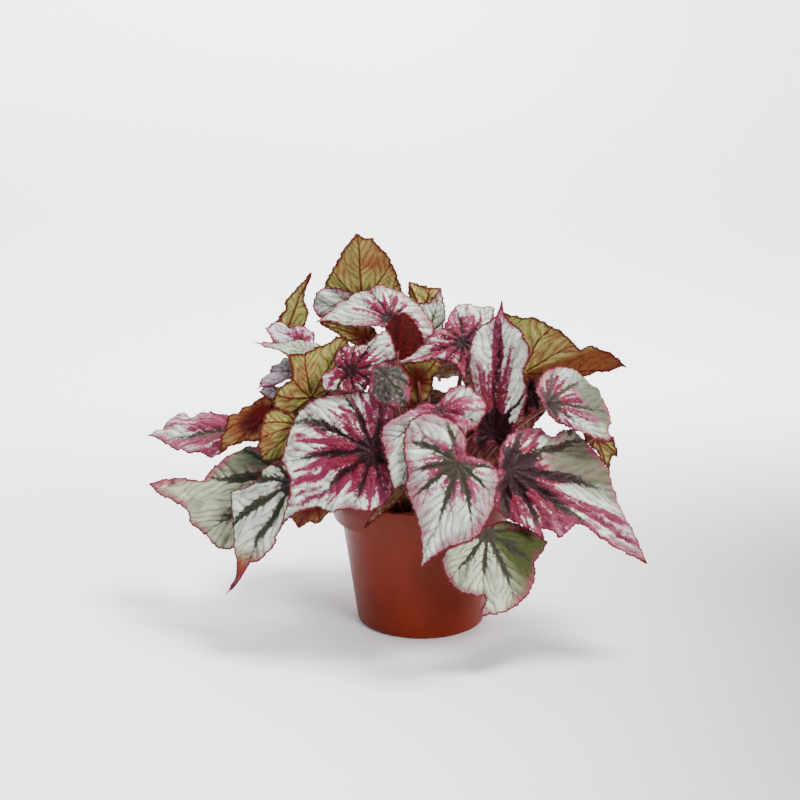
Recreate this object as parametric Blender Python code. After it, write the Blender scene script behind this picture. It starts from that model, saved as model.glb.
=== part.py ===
"""Potted begonia: leaves on stalks that stand in a soil-filled pot.

Sizes are in millimetres and become metres when a mesh is made. +Z is up, the pot stands on
z = 0 round the Z axis, and the photograph was taken from the -Y side.
"""
import math

import bmesh
import bpy
import numpy as np
from mathutils import Vector
from mathutils.geometry import delaunay_2d_cdt

MM = 0.001
GAP = 0.3

# Pot
POT_HEIGHT = 100.0
POT_RIM_RADIUS = 65.0
POT_BAND_HEIGHT = 21.0
POT_BAND_RADIUS = 63.0
POT_NECK_RADIUS = 57.0
POT_BASE_RADIUS = 46.0
POT_BASE_ROUND = 3.0
POT_WALL = 1.8
POT_FLOOR = 4.5
POT_SIDES = 48
DRAIN_NOTCHES = 4
DRAIN_NOTCH_WIDTH = 30.0
DRAIN_NOTCH_HEIGHT = 2.5
DRAIN_NOTCH_DEPTH = 9.0
DRAIN_NOTCH_STEPS = 8
POT_STEP_HEIGHT = 2.0
POT_EDGE = 0.8

# Soil and crown
SOIL_TOP = 88.0
SOIL_EDGE_DROP = 2.0
SOIL_LUMP = 1.0
SOIL_RINGS = (13.0, 25.0, 36.0, 46.0)
SOIL_SIDES = 24
HOLE_DEPTH = 10.0
HOLE_SIDES = 8
HOLE_SLACK = 0.02
CROWN_RADIUS = 5.0
CROWN_HEIGHT = 15.0
CROWN_SIDES = 10
CROWN_KNOBS = ((0.3, 0.8), (0.5, 1.0), (0.7, 0.75), (0.9, 0.6))

# Blades: the teeth are cut by a depth, or by a share of the way to the base where that is less
BLADE_THICKNESS = 0.8
TOOTH = 0.9
TOOTH_SHARE = 0.15
INNER_RING = 0.45
RIPPLES = 6
RIPPLE_HEIGHT = 1.2
RIPPLE_FROM = 0.4
TIP_CURVE = 2.0
BACK_CURVE = 1.5
SIDE_CURVE = 1.4
CORNER_PULL = 0.6
CURVE_PULL = 0.35
COMB_FIRM = 0.88
THROW_STEPS = 12
WELD = 1e-6

# Stalks: a leaf with more edge points than SMALL_LEAF_COUNT has a big one
BIG_STALK = 2.0
SMALL_STALK = 1.4
SMALL_LEAF_COUNT = 30
STALK_TAPER = 0.72
STALK_SIDES = 5
STALK_STEPS = (0.06, 0.2, 0.4, 0.6, 0.8, 1.0)
STALK_UNDER = 0.3
STALK_RISE = 0.35
LEAVE_INWARDS = 0.7
LEAVE_DOWN = 0.9
LEAVE_BACK = 0.3
FOOT_RISE = 3.0
COLLAR_SPREAD = 1.3
COLLAR_SHARE = 0.6

# The photograph's view, from which the visible leaves' outlines are read
PHOTO_MIDDLE = 400.0
PHOTO_FOCAL_PX = 1888.9
PHOTO_FROM = np.array((-15.3, -1279.0, 527.0))
PHOTO_TILT = math.radians(15.9)
PHOTO_AHEAD = np.array((0.0, math.cos(PHOTO_TILT), -math.sin(PHOTO_TILT)))
PHOTO_RIGHT = np.array((1.0, 0.0, 0.0))
PHOTO_UP = np.array((0.0, math.sin(PHOTO_TILT), math.cos(PHOTO_TILT)))

# Colour, roughness, metallic
POT_LOOK = ((0.27, 0.045, 0.018, 1.0), 0.45, 0.0)
SOIL_LOOK = ((0.02, 0.012, 0.008, 1.0), 0.95, 0.0)
CROWN_LOOK = ((0.12, 0.05, 0.03, 1.0), 0.8, 0.0)
LEAF_LOOK = ((0.42, 0.33, 0.36, 1.0), 0.5, 0.0)
OLIVE_LOOK = ((0.27, 0.17, 0.07, 1.0), 0.55, 0.0)

# Leaves that the photograph shows. base_px is where the stalk joins the blade, and depth its
# y; face points out of the upper side; margin_px runs round the edge from the tip. bend is how
# far the tip, left side, back lobes and right side stand off the blade's plane. foot is where
# the stalk leaves the soil. under and rise say how far, in shares of its span, the stalk first
# runs under the blade and rises out of the soil. count is the number of points round the edge.
SEEN = {
    "leaf_crest": dict(
        base_px=(362, 303), depth=34, face=(0.05, 0.95, 0.3), bend=(-4, 6, 3, 6), under=0.12,
        foot=(-6, 12), count=32,
        margin_px=((356.5, 233), (364, 237), (373, 240), (385, 251), (391, 258), (394, 268),
                   (400, 281), (403, 293), (396, 308), (380, 318), (366, 313), (352, 320),
                   (335, 314), (325, 300), (324, 285), (330, 272), (339, 257), (347, 243))),
    "leaf_top": dict(
        base_px=(388, 317.5), depth=-4, face=(-0.05, -0.7, 0.71), bend=(-4, -3, -2, -3), under=0.2,
        foot=(-8, -6), count=32,
        margin_px=((316, 321), (326, 313), (340, 302), (355, 293), (372, 286), (388, 287),
                   (400, 291), (411, 297), (421, 307), (430, 319), (435, 330), (427, 339),
                   (411, 337), (399, 332), (387, 328), (375, 327), (360, 328), (345, 325),
                   (330, 322))),
    "leaf_top_left": dict(
        base_px=(355, 308), depth=17, face=(-0.1, -0.95, 0.3), bend=(0, -3, 0, -3), under=0.12,
        foot=(-16, 9), count=18,
        margin_px=((313, 306), (314, 298), (318, 291), (326, 287), (338, 288), (352, 292),
                   (364, 300), (366, 312), (356, 320), (342, 323), (328, 322), (318, 317))),
    "leaf_under_top": dict(
        base_px=(366, 338), depth=6, face=(0.0, 0.95, 0.3), bend=(0, -3, 0, -3), under=0.12,
        foot=(-12, 1), count=18,
        margin_px=((320, 321.5), (334, 321), (350, 321), (364, 323), (374, 328), (379, 338),
                   (376, 348), (368, 351), (358, 348), (345, 340), (331, 331))),
    "leaf_folded_left": dict(
        base_px=(285, 335), depth=21, face=(0.45, 0.87, 0.1), bend=(3, -4, 0, -4), under=0.2,
        foot=(-28, 18), count=22,
        margin_px=((312, 272), (309, 282), (306, 293), (306, 304), (307, 316), (306, 328),
                   (300, 340), (288, 346), (276, 342), (270, 333), (276, 320), (284, 310),
                   (287, 299), (296, 288), (304, 281))),
    "leaf_strip_left": dict(
        base_px=(300, 340), depth=-4, face=(0.0, -0.65, 0.75), bend=(2, -3, 0, -3), foot=(-31, 5),
        count=18,
        margin_px=((265, 327), (273, 323), (283, 322), (292, 327), (300, 325), (308, 328),
                   (315, 333), (314, 345), (304, 352), (290, 350), (275, 343), (268, 334))),
    "leaf_slim_left": dict(
        base_px=(306, 349.5), depth=-18, face=(0.0, -0.45, 0.89), bend=(2, -3, 0, -3), foot=(-22, -1),
        count=22,
        margin_px=((252.5, 341), (264, 341), (278, 342), (295, 340), (312, 341.5), (320, 346),
                   (321, 352), (313, 356), (302, 358), (290, 356), (278, 352), (264, 346))),
    "leaf_olive_left": dict(
        base_px=(311.5, 397.5), depth=-18, face=(-0.2, 0.93, 0.25), bend=(0, -6, -5, -6), under=0.15,
        foot=(-28, -8), count=32,
        margin_px=((345, 336), (351, 350), (346, 368), (336, 385), (326, 396), (317, 403),
                   (306, 409), (296, 415), (284, 413), (273, 408), (273, 398), (276, 390),
                   (284, 384), (291, 377), (290, 366), (288, 355), (303, 352), (318, 348),
                   (328, 342), (336, 336))),
    "leaf_orange": dict(
        base_px=(298, 425), depth=-30, face=(-0.25, 0.9, 0.3), bend=(0, -4, 0, -4), under=0.12,
        foot=(-34, -18), count=28,
        margin_px=((262, 458), (257, 447), (259, 434), (262, 420), (270, 411), (282, 409),
                   (293, 413), (301, 418), (304, 430), (301, 444), (292, 454), (280, 461),
                   (270, 462))),
    "leaf_russet": dict(
        base_px=(266, 415), depth=-20, face=(-0.25, 0.85, 0.35), bend=(-3, -4, 0, -4), under=0.12,
        foot=(-37, -8), count=28,
        margin_px=((220, 451), (221, 438), (225, 424), (233, 413), (243, 407), (254, 403),
                   (264, 396), (276, 400), (284, 410), (280, 424), (268, 434), (256, 441),
                   (246, 443), (233, 444))),
    "leaf_rays": dict(
        base_px=(351, 371), depth=-40, face=(0.0, -0.93, 0.37), bend=(2, -3, -3, -3), foot=(-14, -11),
        count=28,
        margin_px=((397, 358), (384, 363), (375, 368), (371, 378), (366, 390), (352, 393),
                   (338, 392), (325, 391), (321, 383), (322, 375), (333, 368), (334, 358),
                   (341, 347), (354, 345), (366, 343), (378, 333), (388, 330), (394, 343))),
    "leaf_lilac_left": dict(
        base_px=(302, 372), depth=-8, face=(-0.05, -0.5, 0.85), bend=(-2, -3, 0, -3), foot=(-36, 10),
        count=22,
        margin_px=((257, 388), (261, 380), (268, 375), (271, 367), (279, 362), (289, 358),
                   (302, 357), (313, 363), (314, 375), (303, 384), (290, 380), (277, 384),
                   (265, 387))),
    "leaf_lilac_low": dict(
        base_px=(292, 392), depth=-14, face=(-0.1, -0.6, 0.8), bend=(0, -3, 0, -3), foot=(-40, 2),
        count=18,
        margin_px=((259, 390), (263, 386), (275, 386), (288, 382), (300, 386), (302, 395),
                   (292, 402), (280, 400), (270, 399), (262, 396))),
    "leaf_far_left": dict(
        base_px=(250, 429), depth=14, face=(-0.15, -0.42, 0.9), bend=(-8, -6, 0, -5), foot=(-42, -3),
        count=40,
        margin_px=((146.6, 435.6), (162, 427), (174, 417), (183, 412), (191, 415), (203, 410),
                   (218, 414), (235, 415), (252, 417), (264, 423), (262, 434), (252, 440),
                   (240, 444), (230, 447), (222, 452), (214, 456), (207, 455), (200, 453),
                   (190, 455), (180, 452), (172, 447), (162, 441))),
    "leaf_low_left": dict(
        base_px=(287, 474), depth=-26, face=(-0.25, -0.8, 0.5), bend=(8, -8, 0, -10), foot=(-38, -25),
        count=40,
        margin_px=((149, 483.6), (163, 478), (182, 477), (194, 480), (203, 480), (207, 473),
                   (216, 464), (230, 454), (250, 446), (268, 450), (285, 458), (290, 466),
                   (289, 474), (290, 486), (278, 508), (263, 528), (245, 545), (224, 550),
                   (214, 546), (207, 537), (190, 523), (187, 511), (172, 501), (159, 495))),
    "leaf_hanging_left": dict(
        base_px=(293, 484), depth=-56, face=(-0.3, -0.85, 0.42), bend=(-4, -8, 0, -10),
        foot=(-31, -30), count=40,
        margin_px=((225.4, 594), (230, 586), (235, 575), (237, 564), (235, 548), (232, 528),
                   (231, 510), (232, 500), (231, 492), (245, 487), (257, 478), (264, 468),
                   (275, 463), (290, 463), (300, 468), (302, 477), (298, 485), (301, 498),
                   (295, 513), (286, 521), (280, 532), (276, 545), (268, 554), (258, 561),
                   (249, 563), (243, 573), (237, 584))),
    "leaf_big_left": dict(
        base_px=(372, 451), depth=-64, face=(-0.05, -0.85, 0.5), bend=(-8, -4, -3, -4),
        foot=(-20, -24), count=40,
        margin_px=((281, 524), (285, 508), (289, 492), (288, 475), (281, 461), (284, 448),
                   (288, 434), (293, 420), (301, 409), (314, 400), (330, 394), (347, 391.5),
                   (365, 391), (378, 393), (389, 399), (395, 410), (396, 424), (393, 438),
                   (386, 448), (394, 462), (396, 480), (391, 497), (380, 508), (365, 513),
                   (347, 509), (331, 513), (318, 508), (303, 511), (291, 517))),
    "leaf_middle": dict(
        base_px=(440, 411), depth=-66, face=(-0.05, -0.85, 0.52), bend=(-6, -6, 0, -8), foot=(3, -17),
        count=36,
        margin_px=((394, 489), (389, 478), (387, 465), (383, 450), (380, 435), (384, 424),
                   (393, 418), (405, 412), (415, 406), (426, 402), (437, 404), (442, 397),
                   (449, 389), (459, 385), (470, 386), (480, 394), (487, 405), (485, 417),
                   (477, 427), (468, 433), (459, 447), (445, 462), (425, 476), (408, 485))),
    "leaf_front": dict(
        base_px=(458, 464), depth=-96, face=(-0.05, -0.92, 0.38), bend=(-6, -8, -4, -8),
        foot=(8, -32), count=40,
        margin_px=((420.5, 569), (421, 555), (420, 540), (418, 525), (413, 510), (408, 498),
                   (405, 486), (407, 473), (404, 458), (403, 442), (405, 428), (414, 417),
                   (428, 412), (441, 415), (453, 420), (462, 428), (467, 440), (467, 453),
                   (477, 457), (490, 461), (498, 470), (500, 480), (497, 493), (495, 506),
                   (489, 519), (483, 531), (476, 539), (464, 544), (450, 548), (438, 555),
                   (429, 562))),
    "leaf_big_right": dict(
        base_px=(510, 470), depth=-62, face=(0.22, -0.72, 0.66), bend=(-14, -10, -2, -10),
        foot=(25, -24), count=44,
        margin_px=((647, 563), (628, 553), (606, 542), (592, 532), (580, 524), (570, 530),
                   (561, 538), (552, 531), (544, 528), (544, 540), (531, 532), (516, 524),
                   (500, 513), (490, 500), (487, 485), (497, 471), (498, 460), (500, 448),
                   (506, 437), (516, 430), (528, 427), (540, 429), (551, 438), (560, 431),
                   (570, 428), (581, 434), (592, 447), (601, 461), (609, 472), (613, 484),
                   (619, 499), (623, 512), (632, 530), (640, 547))),
    "leaf_low_front": dict(
        base_px=(487, 534), depth=-82, face=(0.1, -0.9, 0.42), bend=(-4, -8, -2, -8), under=0.45,
        rise=1.1, foot=(21, -36), count=32,
        margin_px=((480, 616), (483, 606), (486, 597), (477, 597), (467, 595), (456, 591),
                   (446, 577), (441, 563), (444, 552), (458, 542), (474, 531), (488, 526),
                   (505, 520), (520, 524), (535, 532), (547, 542), (543, 552), (536, 562),
                   (536, 575), (530, 592), (521, 603), (509, 611), (495, 615))),
    "leaf_tall": dict(
        base_px=(492, 434), depth=-28, face=(0.0, -0.97, 0.22), bend=(4, 24, 0, 24), foot=(20, -13),
        count=40,
        margin_px=((502, 301), (504, 312), (510, 321), (520, 328), (525, 338), (530, 347),
                   (530, 358), (525, 368), (524, 378), (527, 388), (527, 400), (521, 414),
                   (516, 428), (510, 440), (501, 449), (492, 443), (484, 453), (474, 446),
                   (473, 430), (477, 413), (476, 399), (472, 385), (469, 368), (469, 350),
                   (473, 335), (480, 326), (490, 320), (498, 312))),
    "leaf_crimson_back": dict(
        base_px=(462.5, 343), depth=-12, face=(0.0, -0.75, 0.66), bend=(-4, -4, 0, -4), foot=(12, -3),
        count=36,
        margin_px=((395, 361), (404, 354), (415, 350), (423, 344), (428, 338), (436, 331),
                   (443, 327), (447, 319), (451, 311), (458, 305), (470, 304), (482, 306),
                   (491, 304), (495, 311), (492, 324), (487, 338), (478, 348), (469, 356),
                   (467, 368), (467, 382), (461, 376), (456, 366), (448, 362), (438, 359),
                   (428, 363), (415, 365), (403, 364))),
    "leaf_olive_right": dict(
        base_px=(522, 374), depth=24, face=(-0.05, 0.93, 0.3), bend=(-5, -6, 0, -6), under=0.15,
        foot=(27, 3), count=40,
        margin_px=((626, 366.5), (617, 368), (608, 373), (598, 371), (585, 376), (570, 375),
                   (555, 379), (540, 384), (526, 388), (517, 380), (507, 368), (499, 348),
                   (498, 326), (505, 312), (520, 316), (535, 318), (550, 325), (562, 331),
                   (572, 340), (581, 349), (592, 346), (601, 350), (612, 353), (620, 359))),
    "leaf_upper_right": dict(
        base_px=(549, 404), depth=-34, face=(0.25, -0.75, 0.6), bend=(-6, -8, 0, -8), foot=(34, -7),
        count=32,
        margin_px=((612, 441), (603, 440), (590, 437), (577, 432), (563, 425), (553, 420),
                   (546, 411), (541, 402), (536, 390), (540, 377), (548, 368), (560, 366),
                   (573, 370), (586, 377), (597, 389), (604, 402), (611, 412), (612, 422),
                   (608, 430))),
    "leaf_right_flap": dict(
        base_px=(596, 436), depth=-8, face=(0.1, 0.8, 0.4), bend=(0, -3, 0, -3), under=0.12,
        foot=(38, 5), count=18,
        margin_px=((609, 470), (604, 462), (597, 454), (590, 445), (583, 436), (588, 428),
                   (603, 427), (613, 436), (616, 446), (618, 454), (612, 458))),
    "leaf_olive_middle": dict(
        base_px=(418, 380), depth=-20, face=(0.0, 0.9, 0.45), bend=(0, -3, 0, -3), under=0.12,
        foot=(6, -10), count=22,
        margin_px=((402, 366), (411, 362), (425, 360), (438, 359), (445, 365), (440, 372),
                   (434, 377), (433, 388), (430, 398), (422, 404), (412, 402), (405, 392),
                   (402, 379))),
    "leaf_maroon": dict(
        base_px=(398, 350), depth=-20, face=(0.2, 0.85, 0.2), bend=(0, 4, 0, 4), under=0.13,
        foot=(-9, -15), count=18,
        margin_px=((404, 312), (414, 321), (421, 331), (424, 341), (418, 350), (408, 357),
                   (396, 360), (388, 350), (384, 335), (388, 322), (396, 315))),
    "leaf_grey_back": dict(
        base_px=(428, 335), depth=18, face=(0.1, -0.95, 0.2), bend=(0, -3, 0, -3), under=0.12,
        foot=(6, 9), count=22,
        margin_px=((441, 288), (445, 305), (446, 318), (442, 333), (434, 345), (422, 345),
                   (411, 335), (406, 320), (409, 306), (424, 302), (432, 300), (436, 293))),
    "leaf_olive_back": dict(
        base_px=(423, 315), depth=31, face=(0.05, 0.95, -0.1), bend=(0, 3, 0, 3), under=0.12,
        foot=(2, 17), count=18,
        margin_px=((409, 282), (420, 284), (431, 287), (440, 289), (440, 302), (437, 316),
                   (427, 326), (414, 322), (407, 308), (408, 294))),
    "leaf_grey_small": dict(
        base_px=(385, 373), depth=-48, face=(0.1, -0.85, 0.45), bend=(0, -3, 0, -3), foot=(-6, -20),
        count=18,
        margin_px=((407, 407), (411, 396), (411, 384), (407, 373), (399, 366), (386, 362),
                   (374, 366), (369, 378), (368, 392), (376, 402), (392, 408))),
    "leaf_brown_right": dict(
        base_px=(530, 392), depth=0, face=(0.1, -0.93, 0.35), bend=(0, -2, 0, -2), foot=(33, 13),
        count=18,
        margin_px=((523, 433), (515, 427), (514, 411), (518, 395), (525, 383), (534, 377),
                   (541, 386), (544, 397), (547, 408), (541, 418), (533, 427))),
    "leaf_curled_left": dict(
        base_px=(314, 501), depth=-40, face=(-0.1, 0.85, 0.45), bend=(0, -3, 2, 3), under=0.4,
        rise=0.6, foot=(-34, -36), count=22,
        margin_px=((298, 526), (292, 521), (288, 514), (289, 504), (298, 495), (310, 492),
                   (326, 493), (335, 500), (334, 508), (328, 514), (322, 519), (317, 524),
                   (308, 523))),
    "leaf_furled": dict(
        base_px=(397, 492), depth=-60, face=(0.1, -0.93, 0.3), bend=(0, -1, 0, -1), under=0.25,
        foot=(-14, -51), count=18,
        margin_px=((365, 528), (369, 518), (376, 508), (383, 498), (391, 488), (400, 480),
                   (409, 477), (409, 486), (402, 496), (393, 505), (385, 512), (375, 520))),
    "leaf_rim": dict(
        base_px=(407, 482), depth=-52, face=(0.1, 0.85, 0.4), bend=(0, -4, 0, -4), under=0.3,
        foot=(-3, -50), count=18,
        margin_px=((392, 514), (381, 511), (384, 500), (392, 488), (400, 475), (412, 468),
                   (424, 474), (426, 490), (419, 505), (411, 512), (402, 514))),
}

# Leaves at the back, which the photograph hides: base and tip in mm, and width against length
HIDDEN = {
    "rear_leaf_left": dict(
        base=(-76, 50, 160), tip=(-120, 104, 126), face=(-0.35, 0.45, 0.82), width=1.0,
        bend=(-10, -10, -3, -10), under=0.2, rise=0.6, foot=(-24, 29), count=32),
    "rear_leaf_upper_left": dict(
        base=(-44, 56, 182), tip=(-62, 118, 146), face=(-0.15, 0.5, 0.85), width=-1.05,
        bend=(-12, -8, -3, -8), foot=(-12, 24), count=32),
    "rear_leaf_upper": dict(
        base=(8, 60, 194), tip=(16, 134, 166), face=(0.05, 0.5, 0.86), width=1.0,
        bend=(-12, -8, -3, -8), foot=(2, 24), count=32),
    "rear_leaf_upper_right": dict(
        base=(48, 52, 176), tip=(74, 112, 140), face=(0.25, 0.48, 0.84), width=1.0,
        bend=(-12, -8, -3, -8), foot=(16, 20), count=32),
    "rear_leaf_low_left": dict(
        base=(-66, 72, 116), tip=(-102, 106, 60), face=(-0.46, 0.72, 0.52), width=0.95,
        bend=(-8, -10, -3, -10), foot=(-16, 34), count=32),
    "rear_leaf_low": dict(
        base=(-2, 92, 130), tip=(-4, 127, 70), face=(-0.05, 0.85, 0.52), width=-0.92,
        bend=(-8, -10, -3, -10), foot=(-2, 36), count=32),
    "rear_leaf_low_right": dict(
        base=(46, 72, 124), tip=(74, 112, 70), face=(0.32, 0.8, 0.5), width=0.95,
        bend=(-8, -10, -3, -10), foot=(14, 34), count=32),
}

# Outline of a hidden leaf: angle from the tip and reach against length
PLAIN_LEAF = (
    (0, 1.0), (7, 0.82), (18, 0.66), (30, 0.67), (44, 0.58), (62, 0.61), (80, 0.55),
    (102, 0.57), (124, 0.47), (148, 0.44), (166, 0.33), (180, 0.20), (193, 0.12), (206, 0.20),
    (220, 0.31), (240, 0.36), (262, 0.45), (280, 0.44), (300, 0.53), (318, 0.52),
    (336, 0.66), (352, 0.80))


def unit(vector):
    vector = np.asarray(vector, float)
    return vector / np.linalg.norm(vector)


def photo_ray(pixel):
    """Direction of view through one point of the photograph."""
    across = (pixel[0] - PHOTO_MIDDLE) / PHOTO_FOCAL_PX
    down = (pixel[1] - PHOTO_MIDDLE) / PHOTO_FOCAL_PX
    return PHOTO_AHEAD + across * PHOTO_RIGHT - down * PHOTO_UP


def photo_point(pixel, depth):
    """The world point seen at a pixel where y is depth."""
    ray = photo_ray(pixel)
    return PHOTO_FROM + ray * (depth - PHOTO_FROM[1]) / ray[1]


def leaf_axes(leaf):
    """Base point, then forward, left and up in the blade's plane, and its length to the tip."""
    up = unit(leaf["face"])
    if "base_px" in leaf:
        base = photo_point(leaf["base_px"], leaf["depth"])
        ray = photo_ray(leaf["margin_px"][0])
        tip = PHOTO_FROM + ray * ((base - PHOTO_FROM) @ up) / (ray @ up)
    else:
        base = np.array(leaf["base"], float)
        tip = np.array(leaf["tip"], float)
    ahead = tip - base
    ahead = ahead - (ahead @ up) * up
    length = np.linalg.norm(ahead)
    ahead = ahead / length
    return base, ahead, np.cross(up, ahead), up, length


def blade_height(leaf, flat, length):
    """How far the bent blade stands off its plane at flat (forward, left) points.

    The tip, the sides and the back lobes each bend along a curve that starts level at the base
    and reaches the leaf's bend values at the tip and half a length to the sides and back.
    """
    tip, left, back, right = leaf["bend"]
    forward = flat[:, 0] / length
    sideways = flat[:, 1] / (0.5 * length)
    rise = tip * np.maximum(forward, 0.0) ** TIP_CURVE
    rise += back * np.maximum(-2.0 * forward, 0.0) ** BACK_CURVE
    rise += left * np.maximum(sideways, 0.0) ** SIDE_CURVE
    rise += right * np.maximum(-sideways, 0.0) ** SIDE_CURVE
    return rise


def seen_margin(leaf):
    """Edge points of a leaf in the photograph, thrown onto its bent blade."""
    base, ahead, side, up, length = leaf_axes(leaf)
    rays = np.array([photo_ray(pixel) for pixel in leaf["margin_px"]])
    rise = np.zeros(len(rays))
    for _ in range(THROW_STEPS):
        reach = ((base - PHOTO_FROM) @ up + rise) / (rays @ up)
        offset = PHOTO_FROM + rays * reach[:, None] - base
        flat = np.stack([offset @ ahead, offset @ side], axis=1)
        rise = blade_height(leaf, flat, length)
    return flat


def plain_margin(leaf):
    """Edge points of a leaf that the photograph hides; a negative width mirrors it."""
    length = leaf_axes(leaf)[4]
    turn = np.radians([angle for angle, reach in PLAIN_LEAF])
    reach = np.array([reach for angle, reach in PLAIN_LEAF]) * length
    return np.stack([reach * np.cos(turn), reach * np.sin(turn) * leaf["width"]], axis=1)


def leaf_margin(leaf):
    """Edge points in the blade's plane, counter-clockwise from the tip."""
    margin = seen_margin(leaf) if "margin_px" in leaf else plain_margin(leaf)
    following = np.roll(margin, -1, axis=0)
    if np.sum(margin[:, 0] * following[:, 1] - margin[:, 1] * following[:, 0]) < 0:
        margin = np.roll(margin[::-1], 1, axis=0)
    return margin


def rounded(points, per_span=8):
    """Smooth closed curve through the points, with a corner at the first one."""
    count = len(points)
    spans = []
    for i in range(count):
        before, start, end, after = (points[(i + k) % count] for k in (-1, 0, 1, 2))
        leave = (end - start) * CORNER_PULL if i == 0 else (end - before) * CURVE_PULL
        arrive = (end - start) * CORNER_PULL if i == count - 1 else (after - start) * CURVE_PULL
        t = (np.arange(per_span) / per_span)[:, None]
        spans.append((2 * t**3 - 3 * t**2 + 1) * start + (t**3 - 2 * t**2 + t) * leave
                     + (3 * t**2 - 2 * t**3) * end + (t**3 - t**2) * arrive)
    return np.concatenate(spans)


def evenly(curve, count):
    """count points at equal steps along a closed curve."""
    following = np.roll(curve, -1, axis=0)
    step = np.linalg.norm(following - curve, axis=1)
    walked = np.concatenate([[0.0], np.cumsum(step)])
    wanted = np.arange(count) / count * walked[-1]
    span = np.clip(np.searchsorted(walked, wanted, side="right") - 1, 0, len(step) - 1)
    t = ((wanted - walked[span]) / step[span])[:, None]
    return curve[span] * (1 - t) + following[span] * t


def toothed(points):
    """Every second edge point pulled in, so that the edge is cut in teeth; the tip stays."""
    inward = np.ones(len(points))
    reach = np.linalg.norm(points, axis=1)
    inward[1::2] = 1 - np.minimum(TOOTH / reach[1::2], TOOTH_SHARE)
    return points * inward[:, None]


def combed(edge):
    """The edge points with their directions from the base in rising order, for the inner ring."""
    turn = np.unwrap(np.arctan2(edge[:, 1], edge[:, 0]))
    turn = np.clip(turn - turn[0], 0.0, 2 * math.pi)
    rising = np.maximum.accumulate(turn)
    falling = np.minimum.accumulate(turn[::-1])[::-1]
    even = 2 * math.pi * np.arange(len(edge)) / len(edge)
    turn = COMB_FIRM * (rising + falling) / 2 + (1 - COMB_FIRM) * even
    reach = np.linalg.norm(edge, axis=1)
    return np.stack([reach * np.cos(turn), reach * np.sin(turn)], axis=1)


def band_triangles(flat, count):
    """Triangles between the inner ring and the edge, whatever shape the edge has."""
    ring = list(range(count))
    edge = list(range(count, 2 * count))
    corners = [Vector(point) for point in flat]
    found = delaunay_2d_cdt(corners, [], [ring, edge], 1, WELD)
    triangles = []
    for face, sources in zip(found[2], found[5]):
        if 0 not in sources:
            triangles.append(tuple(1 + found[3][corner][0] for corner in face))
    return triangles


def leaf_sheet(leaf):
    """Middle surface of a blade: points in mm, triangles, and the points in its plane."""
    base, ahead, side, up, length = leaf_axes(leaf)
    count = leaf["count"]
    edge = toothed(evenly(rounded(leaf_margin(leaf)), count))
    flat = np.concatenate([[[0.0, 0.0]], combed(edge) * INNER_RING, edge])
    around = np.concatenate([[0.0], np.arange(count) / count, np.arange(count) / count])
    reach = np.concatenate([[0.0], np.full(count, INNER_RING), np.ones(count)])
    spread = np.minimum(np.linalg.norm(flat, axis=1) / (RIPPLE_FROM * length), 1.0)
    ripple = RIPPLE_HEIGHT * spread * reach**3 * np.sin(2 * math.pi * RIPPLES * around)
    rise = blade_height(leaf, flat, length) + ripple
    points = base + np.outer(flat[:, 0], ahead) + np.outer(flat[:, 1], side) + np.outer(rise, up)
    triangles = [(0, 1 + i, 1 + (i + 1) % count) for i in range(count)]
    triangles += band_triangles(flat[1:], count)
    return points, np.array(triangles), flat


def sheet_normals(points, triangles):
    a, b, c = (points[triangles[:, k]] for k in range(3))
    face = np.cross(b - a, c - a)
    normals = np.zeros_like(points)
    for k in range(3):
        np.add.at(normals, triangles[:, k], face)
    return normals / np.linalg.norm(normals, axis=1)[:, None]


def stalk_radius(leaf):
    return BIG_STALK if leaf["count"] > SMALL_LEAF_COUNT else SMALL_STALK


def stalk_path(leaf):
    """Points from the blade down into the soil along a curve, and the stalk's radius at each."""
    base, ahead, side, up, length = leaf_axes(leaf)
    foot = np.array((leaf["foot"][0], leaf["foot"][1], SOIL_TOP + FOOT_RISE))
    span = np.linalg.norm(base - foot)
    joint = base - up * BLADE_THICKNESS / 2
    inwards = unit(foot - base)
    leaving = unit(LEAVE_INWARDS * inwards - LEAVE_DOWN * up - LEAVE_BACK * ahead)
    under = joint + leaving * span * leaf.get("under", STALK_UNDER)
    over = foot + np.array((0.0, 0.0, span * leaf.get("rise", STALK_RISE)))
    path = []
    for t in STALK_STEPS:
        path.append((1 - t)**3 * joint + 3 * (1 - t)**2 * t * under
                    + 3 * (1 - t) * t**2 * over + t**3 * foot)
    path.append(np.array((foot[0], foot[1], SOIL_TOP - HOLE_DEPTH + GAP)))
    thick = stalk_radius(leaf)
    radii = np.linspace(STALK_TAPER * thick, thick, len(STALK_STEPS)).tolist() + [thick]
    return np.array(path), radii


def even_arms(arms, along):
    """The stalk's arms turned square to its course and set at equal angles."""
    first = unit(arms[0] - (arms[0] @ along) * along)
    second = np.cross(along, first)
    sense = 1.0 if np.cross(arms[0], arms[1]) @ along > 0 else -1.0
    turned = []
    for k in range(STALK_SIDES):
        angle = sense * 2 * math.pi * k / STALK_SIDES
        turned.append(math.cos(angle) * first + math.sin(angle) * second)
    return turned


def blade_faces(triangles, count, total):
    """Upper face, lower face without its middle, and the rim between them."""
    faces = [tuple(corners) for corners in triangles]
    faces += [(total + a, total + c, total + b) for a, b, c in triangles if a != 0]
    edge = 1 + count
    for i in range(count):
        j = (i + 1) % count
        faces.append((edge + i, total + edge + i, total + edge + j))
        faces.append((edge + i, total + edge + j, edge + j))
    return faces


def collar_faces(spokes, collar, ring, count):
    """Faces that join the lower side's inner ring to the collar round the stalk."""
    faces = []
    for k, spoke in enumerate(spokes):
        following = spokes[(k + 1) % STALK_SIDES]
        for i in range((following - spoke) % count):
            a, b = (spoke + i) % count, (spoke + i + 1) % count
            faces.append((collar + k, ring + b, ring + a))
        faces.append((collar + k, collar + (k + 1) % STALK_SIDES, ring + following))
    return faces


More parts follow.
